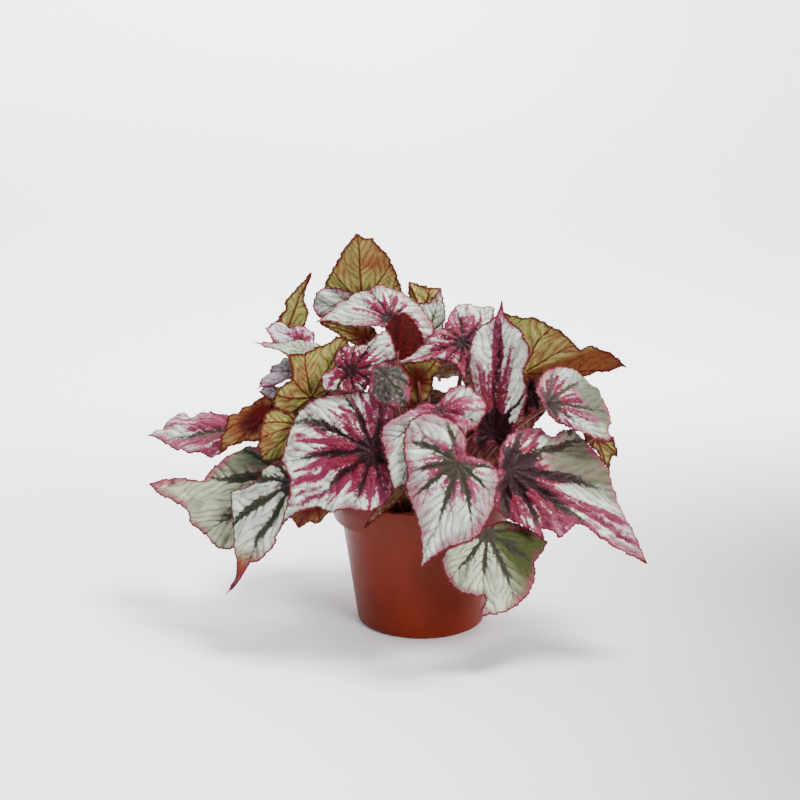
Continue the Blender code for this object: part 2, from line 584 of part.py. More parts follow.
def stalk_points(path, radii, arms):
    points = []
    for step in range(len(path)):
        if step == len(path) - 1:
            along = np.array((0.0, 0.0, -1.0))
        else:
            along = unit(path[step + 1] - path[step])
            if step > 0:
                along = unit(along + unit(path[step] - path[step - 1]))
        arms = even_arms(arms, along)
        points += [path[step] + arm * radii[step] for arm in arms]
    return points


def stalk_faces(collar, steps):
    """The tube that starts at the collar, and its closed foot."""
    faces = []
    for step in range(steps):
        ring = collar + step * STALK_SIDES
        for k in range(STALK_SIDES):
            n = (k + 1) % STALK_SIDES
            faces.append((ring + k, ring + STALK_SIDES + k, ring + STALK_SIDES + n))
            faces.append((ring + k, ring + STALK_SIDES + n, ring + n))
    foot = collar + steps * STALK_SIDES
    for k in range(1, STALK_SIDES - 1):
        faces.append((foot, foot + k, foot + k + 1))
    return faces


def leaf_mesh(leaf):
    """One closed body: the blade's two faces and rim, and the stalk grown out of its lower face."""
    middle, triangles, flat = leaf_sheet(leaf)
    normals = sheet_normals(middle, triangles)
    upper = middle + normals * BLADE_THICKNESS / 2
    lower = middle - normals * BLADE_THICKNESS / 2
    total = len(middle)
    count = leaf["count"]

    turn = np.arctan2(flat[1:1 + count, 1], flat[1:1 + count, 0])
    spokes = []
    for k in range(STALK_SIDES):
        wanted = 2 * math.pi * k / STALK_SIDES
        off = np.abs((turn - wanted + math.pi) % (2 * math.pi) - math.pi)
        spokes.append(int(np.argmin(off)))
    path, radii = stalk_path(leaf)
    collar = []
    for spoke in spokes:
        arm = lower[1 + spoke] - lower[0]
        spread = min(radii[0] * COLLAR_SPREAD, np.linalg.norm(arm) * COLLAR_SHARE)
        collar.append(lower[0] + unit(arm) * spread)
    arms = [unit(point - lower[0]) for point in collar]

    points = list(upper) + list(lower) + collar + stalk_points(path, radii, arms)
    faces = blade_faces(triangles, count, total)
    faces += collar_faces(spokes, 2 * total, total + 1, count)
    faces += stalk_faces(2 * total, len(path))
    return points, faces


def material(name, look):
    colour, roughness, metallic = look
    made = bpy.data.materials.new(name)
    made.use_nodes = True
    shader = made.node_tree.nodes["Principled BSDF"]
    shader.inputs["Base Color"].default_value = colour
    shader.inputs["Roughness"].default_value = roughness
    shader.inputs["Metallic"].default_value = metallic
    made.diffuse_color = colour
    return made


def add_object(name, points, faces, look, smooth=True):
    """A closed mesh, in metres, as an object with its own material."""
    mesh = bpy.data.meshes.new(name)
    corners = [tuple(np.asarray(point) * MM) for point in points]
    mesh.from_pydata(corners, [], [tuple(int(i) for i in face) for face in faces])
    edit = bmesh.new()
    edit.from_mesh(mesh)
    bmesh.ops.triangulate(edit, faces=edit.faces)
    bmesh.ops.recalc_face_normals(edit, faces=edit.faces)
    edit.to_mesh(mesh)
    edit.free()
    mesh.polygons.foreach_set("use_smooth", [smooth] * len(mesh.polygons))
    thing = bpy.data.objects.new(name, mesh)
    bpy.context.collection.objects.link(thing)
    mesh.materials.append(material(name + "_material", look))
    return thing


def revolved(profile, sides):
    """Points and faces of a profile (radius, height) turned round Z; a zero radius closes it."""
    points = []
    rows = []
    for radius, height in profile:
        if radius == 0:
            rows.append([len(points)] * sides)
            points.append((0.0, 0.0, height))
            continue
        rows.append(list(range(len(points), len(points) + sides)))
        for i in range(sides):
            angle = 2 * math.pi * i / sides
            points.append((radius * math.cos(angle), radius * math.sin(angle), height))
    faces = []
    for low, high in zip(rows, rows[1:]):
        for i in range(sides):
            j = (i + 1) % sides
            face = []
            for index in (low[i], low[j], high[j], high[i]):
                if index not in face:
                    face.append(index)
            faces.append(face)
    return points, faces


def inner_radius(height):
    """The pot's inner wall at a height."""
    share = (height - POT_FLOOR) / (POT_HEIGHT - POT_BAND_HEIGHT - POT_FLOOR)
    low = POT_BASE_RADIUS - POT_WALL
    return low + (POT_NECK_RADIUS - POT_WALL - low) * share


def cut(target, cutters):
    """Take the cutters' volume out of the target."""
    for cutter in cutters:
        cutter.hide_render = True
        cutter.display_type = "WIRE"
        step = target.modifiers.new("cut", "BOOLEAN")
        step.operation = "DIFFERENCE"
        step.solver = "EXACT"
        step.object = cutter
        bpy.context.view_layer.objects.active = target
        bpy.ops.object.modifier_apply(modifier=step.name)
        bpy.data.objects.remove(cutter)
    edit = bmesh.new()
    edit.from_mesh(target.data)
    bmesh.ops.triangulate(edit, faces=edit.faces)
    edit.to_mesh(target.data)
    edit.free()


def prism_faces(count):
    """Faces of a prism whose first end has count points, and its second end count more."""
    faces = [list(range(count))[::-1], list(range(count, 2 * count))]
    for i in range(count):
        j = (i + 1) % count
        faces.append([i, j, count + j, count + i])
    return faces


def hole_cutter(place, radius, sides):
    """A prism whose flats clear a round stalk of this radius by the gap."""
    reach = (radius + GAP) / math.cos(math.pi / sides) + HOLE_SLACK
    points = []
    for height in (SOIL_TOP - HOLE_DEPTH, SOIL_TOP + HOLE_DEPTH):
        for i in range(sides):
            turn = 2 * math.pi * i / sides
            points.append((place[0] + reach * math.cos(turn), place[1] + reach * math.sin(turn), height))
    return add_object("hole_cutter", points, prism_faces(sides), SOIL_LOOK, smooth=False)


def notch_cutter(index):
    """An arched cutter at the pot's bottom edge."""
    turn = 2 * math.pi * index / DRAIN_NOTCHES - math.pi / 2
    half = DRAIN_NOTCH_WIDTH / 2
    arch = [(-half, -1.0)]
    for step in range(DRAIN_NOTCH_STEPS + 1):
        x = -half + DRAIN_NOTCH_WIDTH * step / DRAIN_NOTCH_STEPS
        arch.append((x, DRAIN_NOTCH_HEIGHT * (1 - (x / half) ** 2) ** 0.5))
    arch.append((half, -1.0))
    points = []
    for radius in (POT_BASE_RADIUS - DRAIN_NOTCH_DEPTH, POT_NECK_RADIUS):
        for across, height in arch:
            points.append((radius * math.cos(turn) - across * math.sin(turn),
                           radius * math.sin(turn) + across * math.cos(turn), height))
    return add_object("notch_cutter", points, prism_faces(len(arch)), POT_LOOK, smooth=False)


def build_pot():
    top = POT_HEIGHT
    band = POT_HEIGHT - POT_BAND_HEIGHT
    inner_rim = POT_RIM_RADIUS - 2 * POT_WALL
    profile = [(0, 0), (POT_BASE_RADIUS - POT_BASE_ROUND, 0)]
    for degrees in (30, 60, 90):
        turn = math.radians(degrees)
        profile.append((POT_BASE_RADIUS - POT_BASE_ROUND * (1 - math.sin(turn)),
                        POT_BASE_ROUND * (1 - math.cos(turn))))
    profile += [
        (POT_NECK_RADIUS, band - POT_STEP_HEIGHT),
        (POT_BAND_RADIUS - POT_EDGE, band),
        (POT_BAND_RADIUS, band + POT_EDGE),
        (POT_RIM_RADIUS, top - POT_EDGE),
        (POT_RIM_RADIUS - POT_EDGE, top),
        (inner_rim + POT_EDGE, top),
        (inner_rim, top - POT_EDGE),
        (POT_NECK_RADIUS - POT_WALL, band),
        (POT_BASE_RADIUS - POT_WALL, POT_FLOOR),
        (0, POT_FLOOR)]
    points, faces = revolved(profile, POT_SIDES)
    pot = add_object("pot", points, faces, POT_LOOK)
    cut(pot, [notch_cutter(i) for i in range(DRAIN_NOTCHES)])
    return pot


def soil_height(x, y):
    """Lumpy top of the soil, level at its edge."""
    lumps = math.sin(0.21 * x + 1.3) * math.cos(0.17 * y - 0.4)
    lumps += 0.6 * math.sin(0.37 * x - 0.29 * y)
    fade = 1 - (math.hypot(x, y) / SOIL_RINGS[-1]) ** 2
    return SOIL_TOP + SOIL_LUMP * lumps * max(fade, 0.0)


def all_leaves():
    return {**SEEN, **HIDDEN}


def build_soil():
    """The soil, with a hole for each stalk and for the crown."""
    band = POT_HEIGHT - POT_BAND_HEIGHT
    low = POT_FLOOR + GAP
    wall = POT_NECK_RADIUS - POT_WALL
    rim = POT_RIM_RADIUS - 2 * POT_WALL
    edge_height = SOIL_TOP - SOIL_EDGE_DROP
    edge = wall + (rim - wall) * (edge_height - band) / (POT_HEIGHT - POT_EDGE - band)
    profile = [(0, low), (inner_radius(low) - GAP, low), (wall - GAP, band), (edge - GAP, edge_height)]
    profile += [(radius, SOIL_TOP) for radius in reversed(SOIL_RINGS)]
    profile.append((0, SOIL_TOP))
    points, faces = revolved(profile, SOIL_SIDES)
    lumpy = []
    for x, y, z in points:
        lumpy.append((x, y, soil_height(x, y) if z == SOIL_TOP else z))
    soil = add_object("soil", lumpy, faces, SOIL_LOOK)
    cutters = [hole_cutter((0, 0), CROWN_RADIUS, CROWN_SIDES)]
    for leaf in all_leaves().values():
        cutters.append(hole_cutter(leaf["foot"], stalk_radius(leaf), HOLE_SIDES))
    cut(soil, cutters)
    return soil


def build_crown():
    """The knobby stem in the middle that the stalks spring from."""
    low = SOIL_TOP - HOLE_DEPTH + GAP
    profile = [(0, low), (CROWN_RADIUS, low), (CROWN_RADIUS, SOIL_TOP + 1)]
    for step, swell in CROWN_KNOBS:
        profile.append((CROWN_RADIUS * swell, SOIL_TOP + CROWN_HEIGHT * step))
    profile.append((0, SOIL_TOP + CROWN_HEIGHT))
    points, faces = revolved(profile, CROWN_SIDES)
    return add_object("crown", points, faces, CROWN_LOOK)


def clear_scene():
    for thing in list(bpy.data.objects):
        bpy.data.objects.remove(thing)


def main():
    clear_scene()
    build_pot()
    build_soil()
    build_crown()
    for name, leaf in all_leaves().items():
        points, faces = leaf_mesh(leaf)
        underside_seen = "margin_px" in leaf and leaf["face"][1] > 0
        add_object(name, points, faces, OLIVE_LOOK if underside_seen else LEAF_LOOK)


main()
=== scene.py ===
import itertools
import math

import bpy
import numpy as np
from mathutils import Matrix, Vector
from mathutils.geometry import delaunay_2d_cdt


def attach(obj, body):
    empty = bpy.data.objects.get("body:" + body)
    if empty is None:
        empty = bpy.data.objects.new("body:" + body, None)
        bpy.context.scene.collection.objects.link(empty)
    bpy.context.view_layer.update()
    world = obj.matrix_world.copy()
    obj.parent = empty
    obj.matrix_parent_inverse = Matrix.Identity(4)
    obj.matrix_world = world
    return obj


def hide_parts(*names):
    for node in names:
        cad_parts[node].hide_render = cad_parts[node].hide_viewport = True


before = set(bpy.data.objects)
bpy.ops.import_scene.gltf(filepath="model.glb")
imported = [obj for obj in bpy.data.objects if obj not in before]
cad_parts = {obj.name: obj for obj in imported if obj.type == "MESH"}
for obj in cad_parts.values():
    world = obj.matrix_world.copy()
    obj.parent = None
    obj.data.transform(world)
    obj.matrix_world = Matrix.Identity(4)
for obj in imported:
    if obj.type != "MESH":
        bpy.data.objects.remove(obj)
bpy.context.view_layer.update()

MM = 0.001
GAP = 0.3

# Pot and soil, in mm, with SHARP_FROM in degrees
POT_HEIGHT = 100.0
POT_RIM_RADIUS = 65.0
POT_BAND_HEIGHT = 21.0
POT_BAND_RADIUS = 63.0
POT_NECK_RADIUS = 57.0
POT_BASE_RADIUS = 46.0
POT_BASE_ROUND = 3.0
POT_WALL = 1.8
POT_FLOOR = 4.5
DRAIN_NOTCHES = 4
DRAIN_NOTCH_WIDTH = 30.0
DRAIN_NOTCH_HEIGHT = 2.5
DRAIN_NOTCH_DEPTH = 9.0
POT_STEP_HEIGHT = 2.0
POT_EDGE = 0.8
POT_SIDES = 192
SHARP_FROM = 35
NOTCH_STEPS = 32
SOIL_TOP = 88.0
SOIL_EDGE_DROP = 2.0
HOLE_DEPTH = 10.0
CRUMBS = 520
CRUMB_REACH = 56.0
CRUMB_SEED = 5

# Blades and stalks, as in the CAD model
RIPPLES = 6
RIPPLE_HEIGHT = 1.2
RIPPLE_FROM = 0.4
TIP_CURVE = 2.0
BACK_CURVE = 1.5
SIDE_CURVE = 1.4
CORNER_PULL = 0.6
CURVE_PULL = 0.35
THROW_STEPS = 12
BIG_STALK = 2.0
SMALL_STALK = 1.4
SMALL_LEAF_COUNT = 30
STALK_TAPER = 0.72
STALK_UNDER = 0.3
STALK_RISE = 0.35
LEAVE_INWARDS = 0.7
LEAVE_DOWN = 0.9
LEAVE_BACK = 0.3
FOOT_RISE = 3.0

# The photograph's view, from which the visible leaves' outlines are read
PHOTO_MIDDLE = 400.0
PHOTO_FOCAL_PX = 1888.9
PHOTO_FROM = np.array((-15.3, -1279.0, 527.0))
PHOTO_TILT = math.radians(15.9)
PHOTO_AHEAD = np.array((0.0, math.cos(PHOTO_TILT), -math.sin(PHOTO_TILT)))
PHOTO_RIGHT = np.array((1.0, 0.0, 0.0))
PHOTO_UP = np.array((0.0, math.sin(PHOTO_TILT), math.cos(PHOTO_TILT)))

# Leaves that the photograph shows. base_px is where the stalk joins the blade, and depth its
# y; face points out of the upper side; margin_px runs round the edge from the tip, x and y in
# turn. bend is how far the tip, left side, back lobes and right side stand off the blade's plane.
# foot is where the stalk leaves the soil. under and rise say how far, in shares of its span, the
# stalk first runs under the blade and rises out of the soil. count, the number of points round
# the edge of the CAD leaf, tells a large leaf from a small one.
SEEN = {
    "leaf_crest": dict(
        base_px=(362, 303), depth=34, face=(0.05, 0.95, 0.3), bend=(-4, 6, 3, 6), under=0.12,
        foot=(-6, 12), count=32,
        margin_px=(
            356.5, 233, 364, 237, 373, 240, 385, 251, 391, 258, 394, 268, 400, 281, 403, 293,
            396, 308, 380, 318, 366, 313, 352, 320, 335, 314, 325, 300, 324, 285, 330, 272,
            339, 257, 347, 243)),
    "leaf_top": dict(
        base_px=(388, 317.5), depth=-4, face=(-0.05, -0.7, 0.71), bend=(-4, -3, -2, -3), under=0.2,
        foot=(-8, -6), count=32,
        margin_px=(
            316, 321, 326, 313, 340, 302, 355, 293, 372, 286, 388, 287, 400, 291, 411, 297,
            421, 307, 430, 319, 435, 330, 427, 339, 411, 337, 399, 332, 387, 328, 375, 327,
            360, 328, 345, 325, 330, 322)),
    "leaf_top_left": dict(
        base_px=(355, 308), depth=17, face=(-0.1, -0.95, 0.3), bend=(0, -3, 0, -3), under=0.12,
        foot=(-16, 9), count=18,
        margin_px=(
            313, 306, 314, 298, 318, 291, 326, 287, 338, 288, 352, 292, 364, 300, 366, 312,
            356, 320, 342, 323, 328, 322, 318, 317)),
    "leaf_under_top": dict(
        base_px=(366, 338), depth=6, face=(0.0, 0.95, 0.3), bend=(0, -3, 0, -3), under=0.12,
        foot=(-12, 1), count=18,
        margin_px=(
            320, 321.5, 334, 321, 350, 321, 364, 323, 374, 328, 379, 338, 376, 348, 368, 351,
            358, 348, 345, 340, 331, 331)),
    "leaf_folded_left": dict(
        base_px=(285, 335), depth=21, face=(0.45, 0.87, 0.1), bend=(3, -4, 0, -4), under=0.2,
        foot=(-28, 18), count=22,
        margin_px=(
            312, 272, 309, 282, 306, 293, 306, 304, 307, 316, 306, 328, 300, 340, 288, 346,
            276, 342, 270, 333, 276, 320, 284, 310, 287, 299, 296, 288, 304, 281)),
    "leaf_strip_left": dict(
        base_px=(300, 340), depth=-4, face=(0.0, -0.65, 0.75), bend=(2, -3, 0, -3), foot=(-31, 5),
        count=18,
        margin_px=(
            265, 327, 273, 323, 283, 322, 292, 327, 300, 325, 308, 328, 315, 333, 314, 345,
            304, 352, 290, 350, 275, 343, 268, 334)),
    "leaf_slim_left": dict(
        base_px=(306, 349.5), depth=-18, face=(0.0, -0.45, 0.89), bend=(2, -3, 0, -3),
        foot=(-22, -1), count=22,
        margin_px=(
            252.5, 341, 264, 341, 278, 342, 295, 340, 312, 341.5, 320, 346, 321, 352, 313, 356,
            302, 358, 290, 356, 278, 352, 264, 346)),
    "leaf_olive_left": dict(
        base_px=(311.5, 397.5), depth=-18, face=(-0.2, 0.93, 0.25), bend=(0, -6, -5, -6),
        under=0.15, foot=(-28, -8), count=32,
        margin_px=(
            345, 336, 351, 350, 346, 368, 336, 385, 326, 396, 317, 403, 306, 409, 296, 415,
            284, 413, 273, 408, 273, 398, 276, 390, 284, 384, 291, 377, 290, 366, 288, 355,
            303, 352, 318, 348, 328, 342, 336, 336)),
    "leaf_orange": dict(
        base_px=(298, 425), depth=-30, face=(-0.25, 0.9, 0.3), bend=(0, -4, 0, -4), under=0.12,
        foot=(-34, -18), count=28,
        margin_px=(
            262, 458, 257, 447, 259, 434, 262, 420, 270, 411, 282, 409, 293, 413, 301, 418,
            304, 430, 301, 444, 292, 454, 280, 461, 270, 462)),
    "leaf_russet": dict(
        base_px=(266, 415), depth=-20, face=(-0.25, 0.85, 0.35), bend=(-3, -4, 0, -4), under=0.12,
        foot=(-37, -8), count=28,
        margin_px=(
            220, 451, 221, 438, 225, 424, 233, 413, 243, 407, 254, 403, 264, 396, 276, 400,
            284, 410, 280, 424, 268, 434, 256, 441, 246, 443, 233, 444)),
    "leaf_rays": dict(
        base_px=(351, 371), depth=-40, face=(0.0, -0.93, 0.37), bend=(2, -3, -3, -3),
        foot=(-14, -11), count=28,
        margin_px=(
            397, 358, 384, 363, 375, 368, 371, 378, 366, 390, 352, 393, 338, 392, 325, 391,
            321, 383, 322, 375, 333, 368, 334, 358, 341, 347, 354, 345, 366, 343, 378, 333,
            388, 330, 394, 343)),
    "leaf_lilac_left": dict(
        base_px=(302, 372), depth=-8, face=(-0.05, -0.5, 0.85), bend=(-2, -3, 0, -3),
        foot=(-36, 10), count=22,
        margin_px=(
            257, 388, 261, 380, 268, 375, 271, 367, 279, 362, 289, 358, 302, 357, 313, 363,
            314, 375, 303, 384, 290, 380, 277, 384, 265, 387)),
    "leaf_lilac_low": dict(
        base_px=(292, 392), depth=-14, face=(-0.1, -0.6, 0.8), bend=(0, -3, 0, -3), foot=(-40, 2),
        count=18,
        margin_px=(
            259, 390, 263, 386, 275, 386, 288, 382, 300, 386, 302, 395, 292, 402, 280, 400,
            270, 399, 262, 396)),
    "leaf_far_left": dict(
        base_px=(250, 429), depth=14, face=(-0.15, -0.42, 0.9), bend=(-8, -6, 0, -5),
        foot=(-42, -3), count=40,
        margin_px=(
            146.6, 435.6, 162, 427, 174, 417, 183, 412, 191, 415, 203, 410, 218, 414, 235, 415,
            252, 417, 264, 423, 262, 434, 252, 440, 240, 444, 230, 447, 222, 452, 214, 456,
            207, 455, 200, 453, 190, 455, 180, 452, 172, 447, 162, 441)),
    "leaf_low_left": dict(
        base_px=(287, 474), depth=-26, face=(-0.25, -0.8, 0.5), bend=(8, -8, 0, -10),
        foot=(-38, -25), count=40,
        margin_px=(
            149, 483.6, 163, 478, 182, 477, 194, 480, 203, 480, 207, 473, 216, 464, 230, 454,
            250, 446, 268, 450, 285, 458, 290, 466, 289, 474, 290, 486, 278, 508, 263, 528,
            245, 545, 224, 550, 214, 546, 207, 537, 190, 523, 187, 511, 172, 501, 159, 495)),
    "leaf_hanging_left": dict(
        base_px=(293, 484), depth=-56, face=(-0.3, -0.85, 0.42), bend=(-4, -8, 0, -10),
        foot=(-31, -30), count=40,
        margin_px=(
            225.4, 594, 230, 586, 235, 575, 237, 564, 235, 548, 232, 528, 231, 510, 232, 500,
            231, 492, 245, 487, 257, 478, 264, 468, 275, 463, 290, 463, 300, 468, 302, 477,
            298, 485, 301, 498, 295, 513, 286, 521, 280, 532, 276, 545, 268, 554, 258, 561,
            249, 563, 243, 573, 237, 584)),
    "leaf_big_left": dict(
        base_px=(372, 451), depth=-64, face=(-0.05, -0.85, 0.5), bend=(-8, -4, -3, -4),
        foot=(-20, -24), count=40,
        margin_px=(
            281, 524, 285, 508, 289, 492, 288, 475, 281, 461, 284, 448, 288, 434, 293, 420,
            301, 409, 314, 400, 330, 394, 347, 391.5, 365, 391, 378, 393, 389, 399, 395, 410,
            396, 424, 393, 438, 386, 448, 394, 462, 396, 480, 391, 497, 380, 508, 365, 513,
            347, 509, 331, 513, 318, 508, 303, 511, 291, 517)),
    "leaf_middle": dict(
        base_px=(440, 411), depth=-66, face=(-0.05, -0.85, 0.52), bend=(-6, -6, 0, -8),
        foot=(3, -17), count=36,
        margin_px=(
            394, 489, 389, 478, 387, 465, 383, 450, 380, 435, 384, 424, 393, 418, 405, 412,
            415, 406, 426, 402, 437, 404, 442, 397, 449, 389, 459, 385, 470, 386, 480, 394,
            487, 405, 485, 417, 477, 427, 468, 433, 459, 447, 445, 462, 425, 476, 408, 485)),
    "leaf_front": dict(
        base_px=(458, 464), depth=-96, face=(-0.05, -0.92, 0.38), bend=(-6, -8, -4, -8),
        foot=(8, -32), count=40,
        margin_px=(
            420.5, 569, 421, 555, 420, 540, 418, 525, 413, 510, 408, 498, 405, 486, 407, 473,
            404, 458, 403, 442, 405, 428, 414, 417, 428, 412, 441, 415, 453, 420, 462, 428,
            467, 440, 467, 453, 477, 457, 490, 461, 498, 470, 500, 480, 497, 493, 495, 506,
            489, 519, 483, 531, 476, 539, 464, 544, 450, 548, 438, 555, 429, 562)),
    "leaf_big_right": dict(
        base_px=(510, 470), depth=-62, face=(0.22, -0.72, 0.66), bend=(-14, -10, -2, -10),
        foot=(25, -24), count=44,
        margin_px=(
            647, 563, 628, 553, 606, 542, 592, 532, 580, 524, 570, 530, 561, 538, 552, 531,
            544, 528, 544, 540, 531, 532, 516, 524, 500, 513, 490, 500, 487, 485, 497, 471,
            498, 460, 500, 448, 506, 437, 516, 430, 528, 427, 540, 429, 551, 438, 560, 431,
            570, 428, 581, 434, 592, 447, 601, 461, 609, 472, 613, 484, 619, 499, 623, 512,
            632, 530, 640, 547)),
    "leaf_low_front": dict(
        base_px=(487, 534), depth=-82, face=(0.1, -0.9, 0.42), bend=(-4, -8, -2, -8), under=0.45,
        rise=1.1, foot=(21, -36), count=32,
        margin_px=(
            480, 616, 483, 606, 486, 597, 477, 597, 467, 595, 456, 591, 446, 577, 441, 563,
            444, 552, 458, 542, 474, 531, 488, 526, 505, 520, 520, 524, 535, 532, 547, 542,
            543, 552, 536, 562, 536, 575, 530, 592, 521, 603, 509, 611, 495, 615)),
    "leaf_tall": dict(
        base_px=(492, 434), depth=-28, face=(0.0, -0.97, 0.22), bend=(4, 24, 0, 24),
        foot=(20, -13), count=40,
        margin_px=(
            502, 301, 504, 312, 510, 321, 520, 328, 525, 338, 530, 347, 530, 358, 525, 368,
            524, 378, 527, 388, 527, 400, 521, 414, 516, 428, 510, 440, 501, 449, 492, 443,
            484, 453, 474, 446, 473, 430, 477, 413, 476, 399, 472, 385, 469, 368, 469, 350,
            473, 335, 480, 326, 490, 320, 498, 312)),
    "leaf_crimson_back": dict(
        base_px=(462.5, 343), depth=-12, face=(0.0, -0.75, 0.66), bend=(-4, -4, 0, -4),
        foot=(12, -3), count=36,
        margin_px=(
            395, 361, 404, 354, 415, 350, 423, 344, 428, 338, 436, 331, 443, 327, 447, 319,
            451, 311, 458, 305, 470, 304, 482, 306, 491, 304, 495, 311, 492, 324, 487, 338,
            478, 348, 469, 356, 467, 368, 467, 382, 461, 376, 456, 366, 448, 362, 438, 359,
            428, 363, 415, 365, 403, 364)),
    "leaf_olive_right": dict(
        base_px=(522, 374), depth=24, face=(-0.05, 0.93, 0.3), bend=(-5, -6, 0, -6), under=0.15,
        foot=(27, 3), count=40,
        margin_px=(
            626, 366.5, 617, 368, 608, 373, 598, 371, 585, 376, 570, 375, 555, 379, 540, 384,
            526, 388, 517, 380, 507, 368, 499, 348, 498, 326, 505, 312, 520, 316, 535, 318,
            550, 325, 562, 331, 572, 340, 581, 349, 592, 346, 601, 350, 612, 353, 620, 359)),
    "leaf_upper_right": dict(
        base_px=(549, 404), depth=-34, face=(0.25, -0.75, 0.6), bend=(-6, -8, 0, -8),
        foot=(34, -7), count=32,
        margin_px=(
            612, 441, 603, 440, 590, 437, 577, 432, 563, 425, 553, 420, 546, 411, 541, 402,
            536, 390, 540, 377, 548, 368, 560, 366, 573, 370, 586, 377, 597, 389, 604, 402,
            611, 412, 612, 422, 608, 430)),
    "leaf_right_flap": dict(
        base_px=(596, 436), depth=-8, face=(0.1, 0.8, 0.4), bend=(0, -3, 0, -3), under=0.12,
        foot=(38, 5), count=18,
        margin_px=(
            609, 470, 604, 462, 597, 454, 590, 445, 583, 436, 588, 428, 603, 427, 613, 436,
            616, 446, 618, 454, 612, 458)),
    "leaf_olive_middle": dict(
        base_px=(418, 380), depth=-20, face=(0.0, 0.9, 0.45), bend=(0, -3, 0, -3), under=0.12,
        foot=(6, -10), count=22,
        margin_px=(
            402, 366, 411, 362, 425, 360, 438, 359, 445, 365, 440, 372, 434, 377, 433, 388,
            430, 398, 422, 404, 412, 402, 405, 392, 402, 379)),
    "leaf_maroon": dict(
        base_px=(398, 350), depth=-20, face=(0.2, 0.85, 0.2), bend=(0, 4, 0, 4), under=0.13,
        foot=(-9, -15), count=18,
        margin_px=(
            404, 312, 414, 321, 421, 331, 424, 341, 418, 350, 408, 357, 396, 360, 388, 350,
            384, 335, 388, 322, 396, 315)),
    "leaf_grey_back": dict(
        base_px=(428, 335), depth=18, face=(0.1, -0.95, 0.2), bend=(0, -3, 0, -3), under=0.12,
        foot=(6, 9), count=22,
        margin_px=(
            441, 288, 445, 305, 446, 318, 442, 333, 434, 345, 422, 345, 411, 335, 406, 320,
            409, 306, 424, 302, 432, 300, 436, 293)),
    "leaf_olive_back": dict(
        base_px=(423, 315), depth=31, face=(0.05, 0.95, -0.1), bend=(0, 3, 0, 3), under=0.12,
        foot=(2, 17), count=18,
        margin_px=(
            409, 282, 420, 284, 431, 287, 440, 289, 440, 302, 437, 316, 427, 326, 414, 322,
            407, 308, 408, 294)),
    "leaf_grey_small": dict(
        base_px=(385, 373), depth=-48, face=(0.1, -0.85, 0.45), bend=(0, -3, 0, -3),
        foot=(-6, -20), count=18,
        margin_px=(
            407, 407, 411, 396, 411, 384, 407, 373, 399, 366, 386, 362, 374, 366, 369, 378,
            368, 392, 376, 402, 392, 408)),
    "leaf_brown_right": dict(
        base_px=(530, 392), depth=0, face=(0.1, -0.93, 0.35), bend=(0, -2, 0, -2), foot=(33, 13),
        count=18,
        margin_px=(
            523, 433, 515, 427, 514, 411, 518, 395, 525, 383, 534, 377, 541, 386, 544, 397,
            547, 408, 541, 418, 533, 427)),
    "leaf_curled_left": dict(
        base_px=(314, 501), depth=-40, face=(-0.1, 0.85, 0.45), bend=(0, -3, 2, 3), under=0.4,
        rise=0.6, foot=(-34, -36), count=22,
        margin_px=(
            298, 526, 292, 521, 288, 514, 289, 504, 298, 495, 310, 492, 326, 493, 335, 500,
            334, 508, 328, 514, 322, 519, 317, 524, 308, 523)),
    "leaf_furled": dict(
        base_px=(397, 492), depth=-60, face=(0.1, -0.93, 0.3), bend=(0, -1, 0, -1), under=0.25,
        foot=(-14, -51), count=18,
        margin_px=(
            365, 528, 369, 518, 376, 508, 383, 498, 391, 488, 400, 480, 409, 477, 409, 486,
            402, 496, 393, 505, 385, 512, 375, 520)),
    "leaf_rim": dict(
        base_px=(407, 482), depth=-52, face=(0.1, 0.85, 0.4), bend=(0, -4, 0, -4), under=0.3,
        foot=(-3, -50), count=18,
        margin_px=(
            392, 514, 381, 511, 384, 500, 392, 488, 400, 475, 412, 468, 424, 474, 426, 490,
            419, 505, 411, 512, 402, 514)),
}

# Leaves at the back, which the photograph hides: base and tip in mm, and width against length
HIDDEN = {
    "rear_leaf_left": dict(
        base=(-76, 50, 160), tip=(-120, 104, 126), face=(-0.35, 0.45, 0.82), width=1.0,
        bend=(-10, -10, -3, -10), under=0.2, rise=0.6, foot=(-24, 29), count=32),
    "rear_leaf_upper_left": dict(
        base=(-44, 56, 182), tip=(-62, 118, 146), face=(-0.15, 0.5, 0.85), width=-1.05,
        bend=(-12, -8, -3, -8), foot=(-12, 24), count=32),
    "rear_leaf_upper": dict(
        base=(8, 60, 194), tip=(16, 134, 166), face=(0.05, 0.5, 0.86), width=1.0,
        bend=(-12, -8, -3, -8), foot=(2, 24), count=32),
    "rear_leaf_upper_right": dict(
        base=(48, 52, 176), tip=(74, 112, 140), face=(0.25, 0.48, 0.84), width=1.0,
        bend=(-12, -8, -3, -8), foot=(16, 20), count=32),
    "rear_leaf_low_left": dict(
        base=(-66, 72, 116), tip=(-102, 106, 60), face=(-0.46, 0.72, 0.52), width=0.95,
        bend=(-8, -10, -3, -10), foot=(-16, 34), count=32),
    "rear_leaf_low": dict(
        base=(-2, 92, 130), tip=(-4, 127, 70), face=(-0.05, 0.85, 0.52), width=-0.92,
        bend=(-8, -10, -3, -10), foot=(-2, 36), count=32),
    "rear_leaf_low_right": dict(
        base=(46, 72, 124), tip=(74, 112, 70), face=(0.32, 0.8, 0.5), width=0.95,
        bend=(-8, -10, -3, -10), foot=(14, 34), count=32),
}

# Outline of a hidden leaf: angle from the tip and reach against length
PLAIN_LEAF = (
    (0, 1.0), (7, 0.82), (18, 0.66), (30, 0.67), (44, 0.58), (62, 0.61), (80, 0.55),
    (102, 0.57), (124, 0.47), (148, 0.44), (166, 0.33), (180, 0.20), (193, 0.12), (206, 0.20),
    (220, 0.31), (240, 0.36), (262, 0.45), (280, 0.44), (300, 0.53), (318, 0.52),
    (336, 0.66), (352, 0.80))


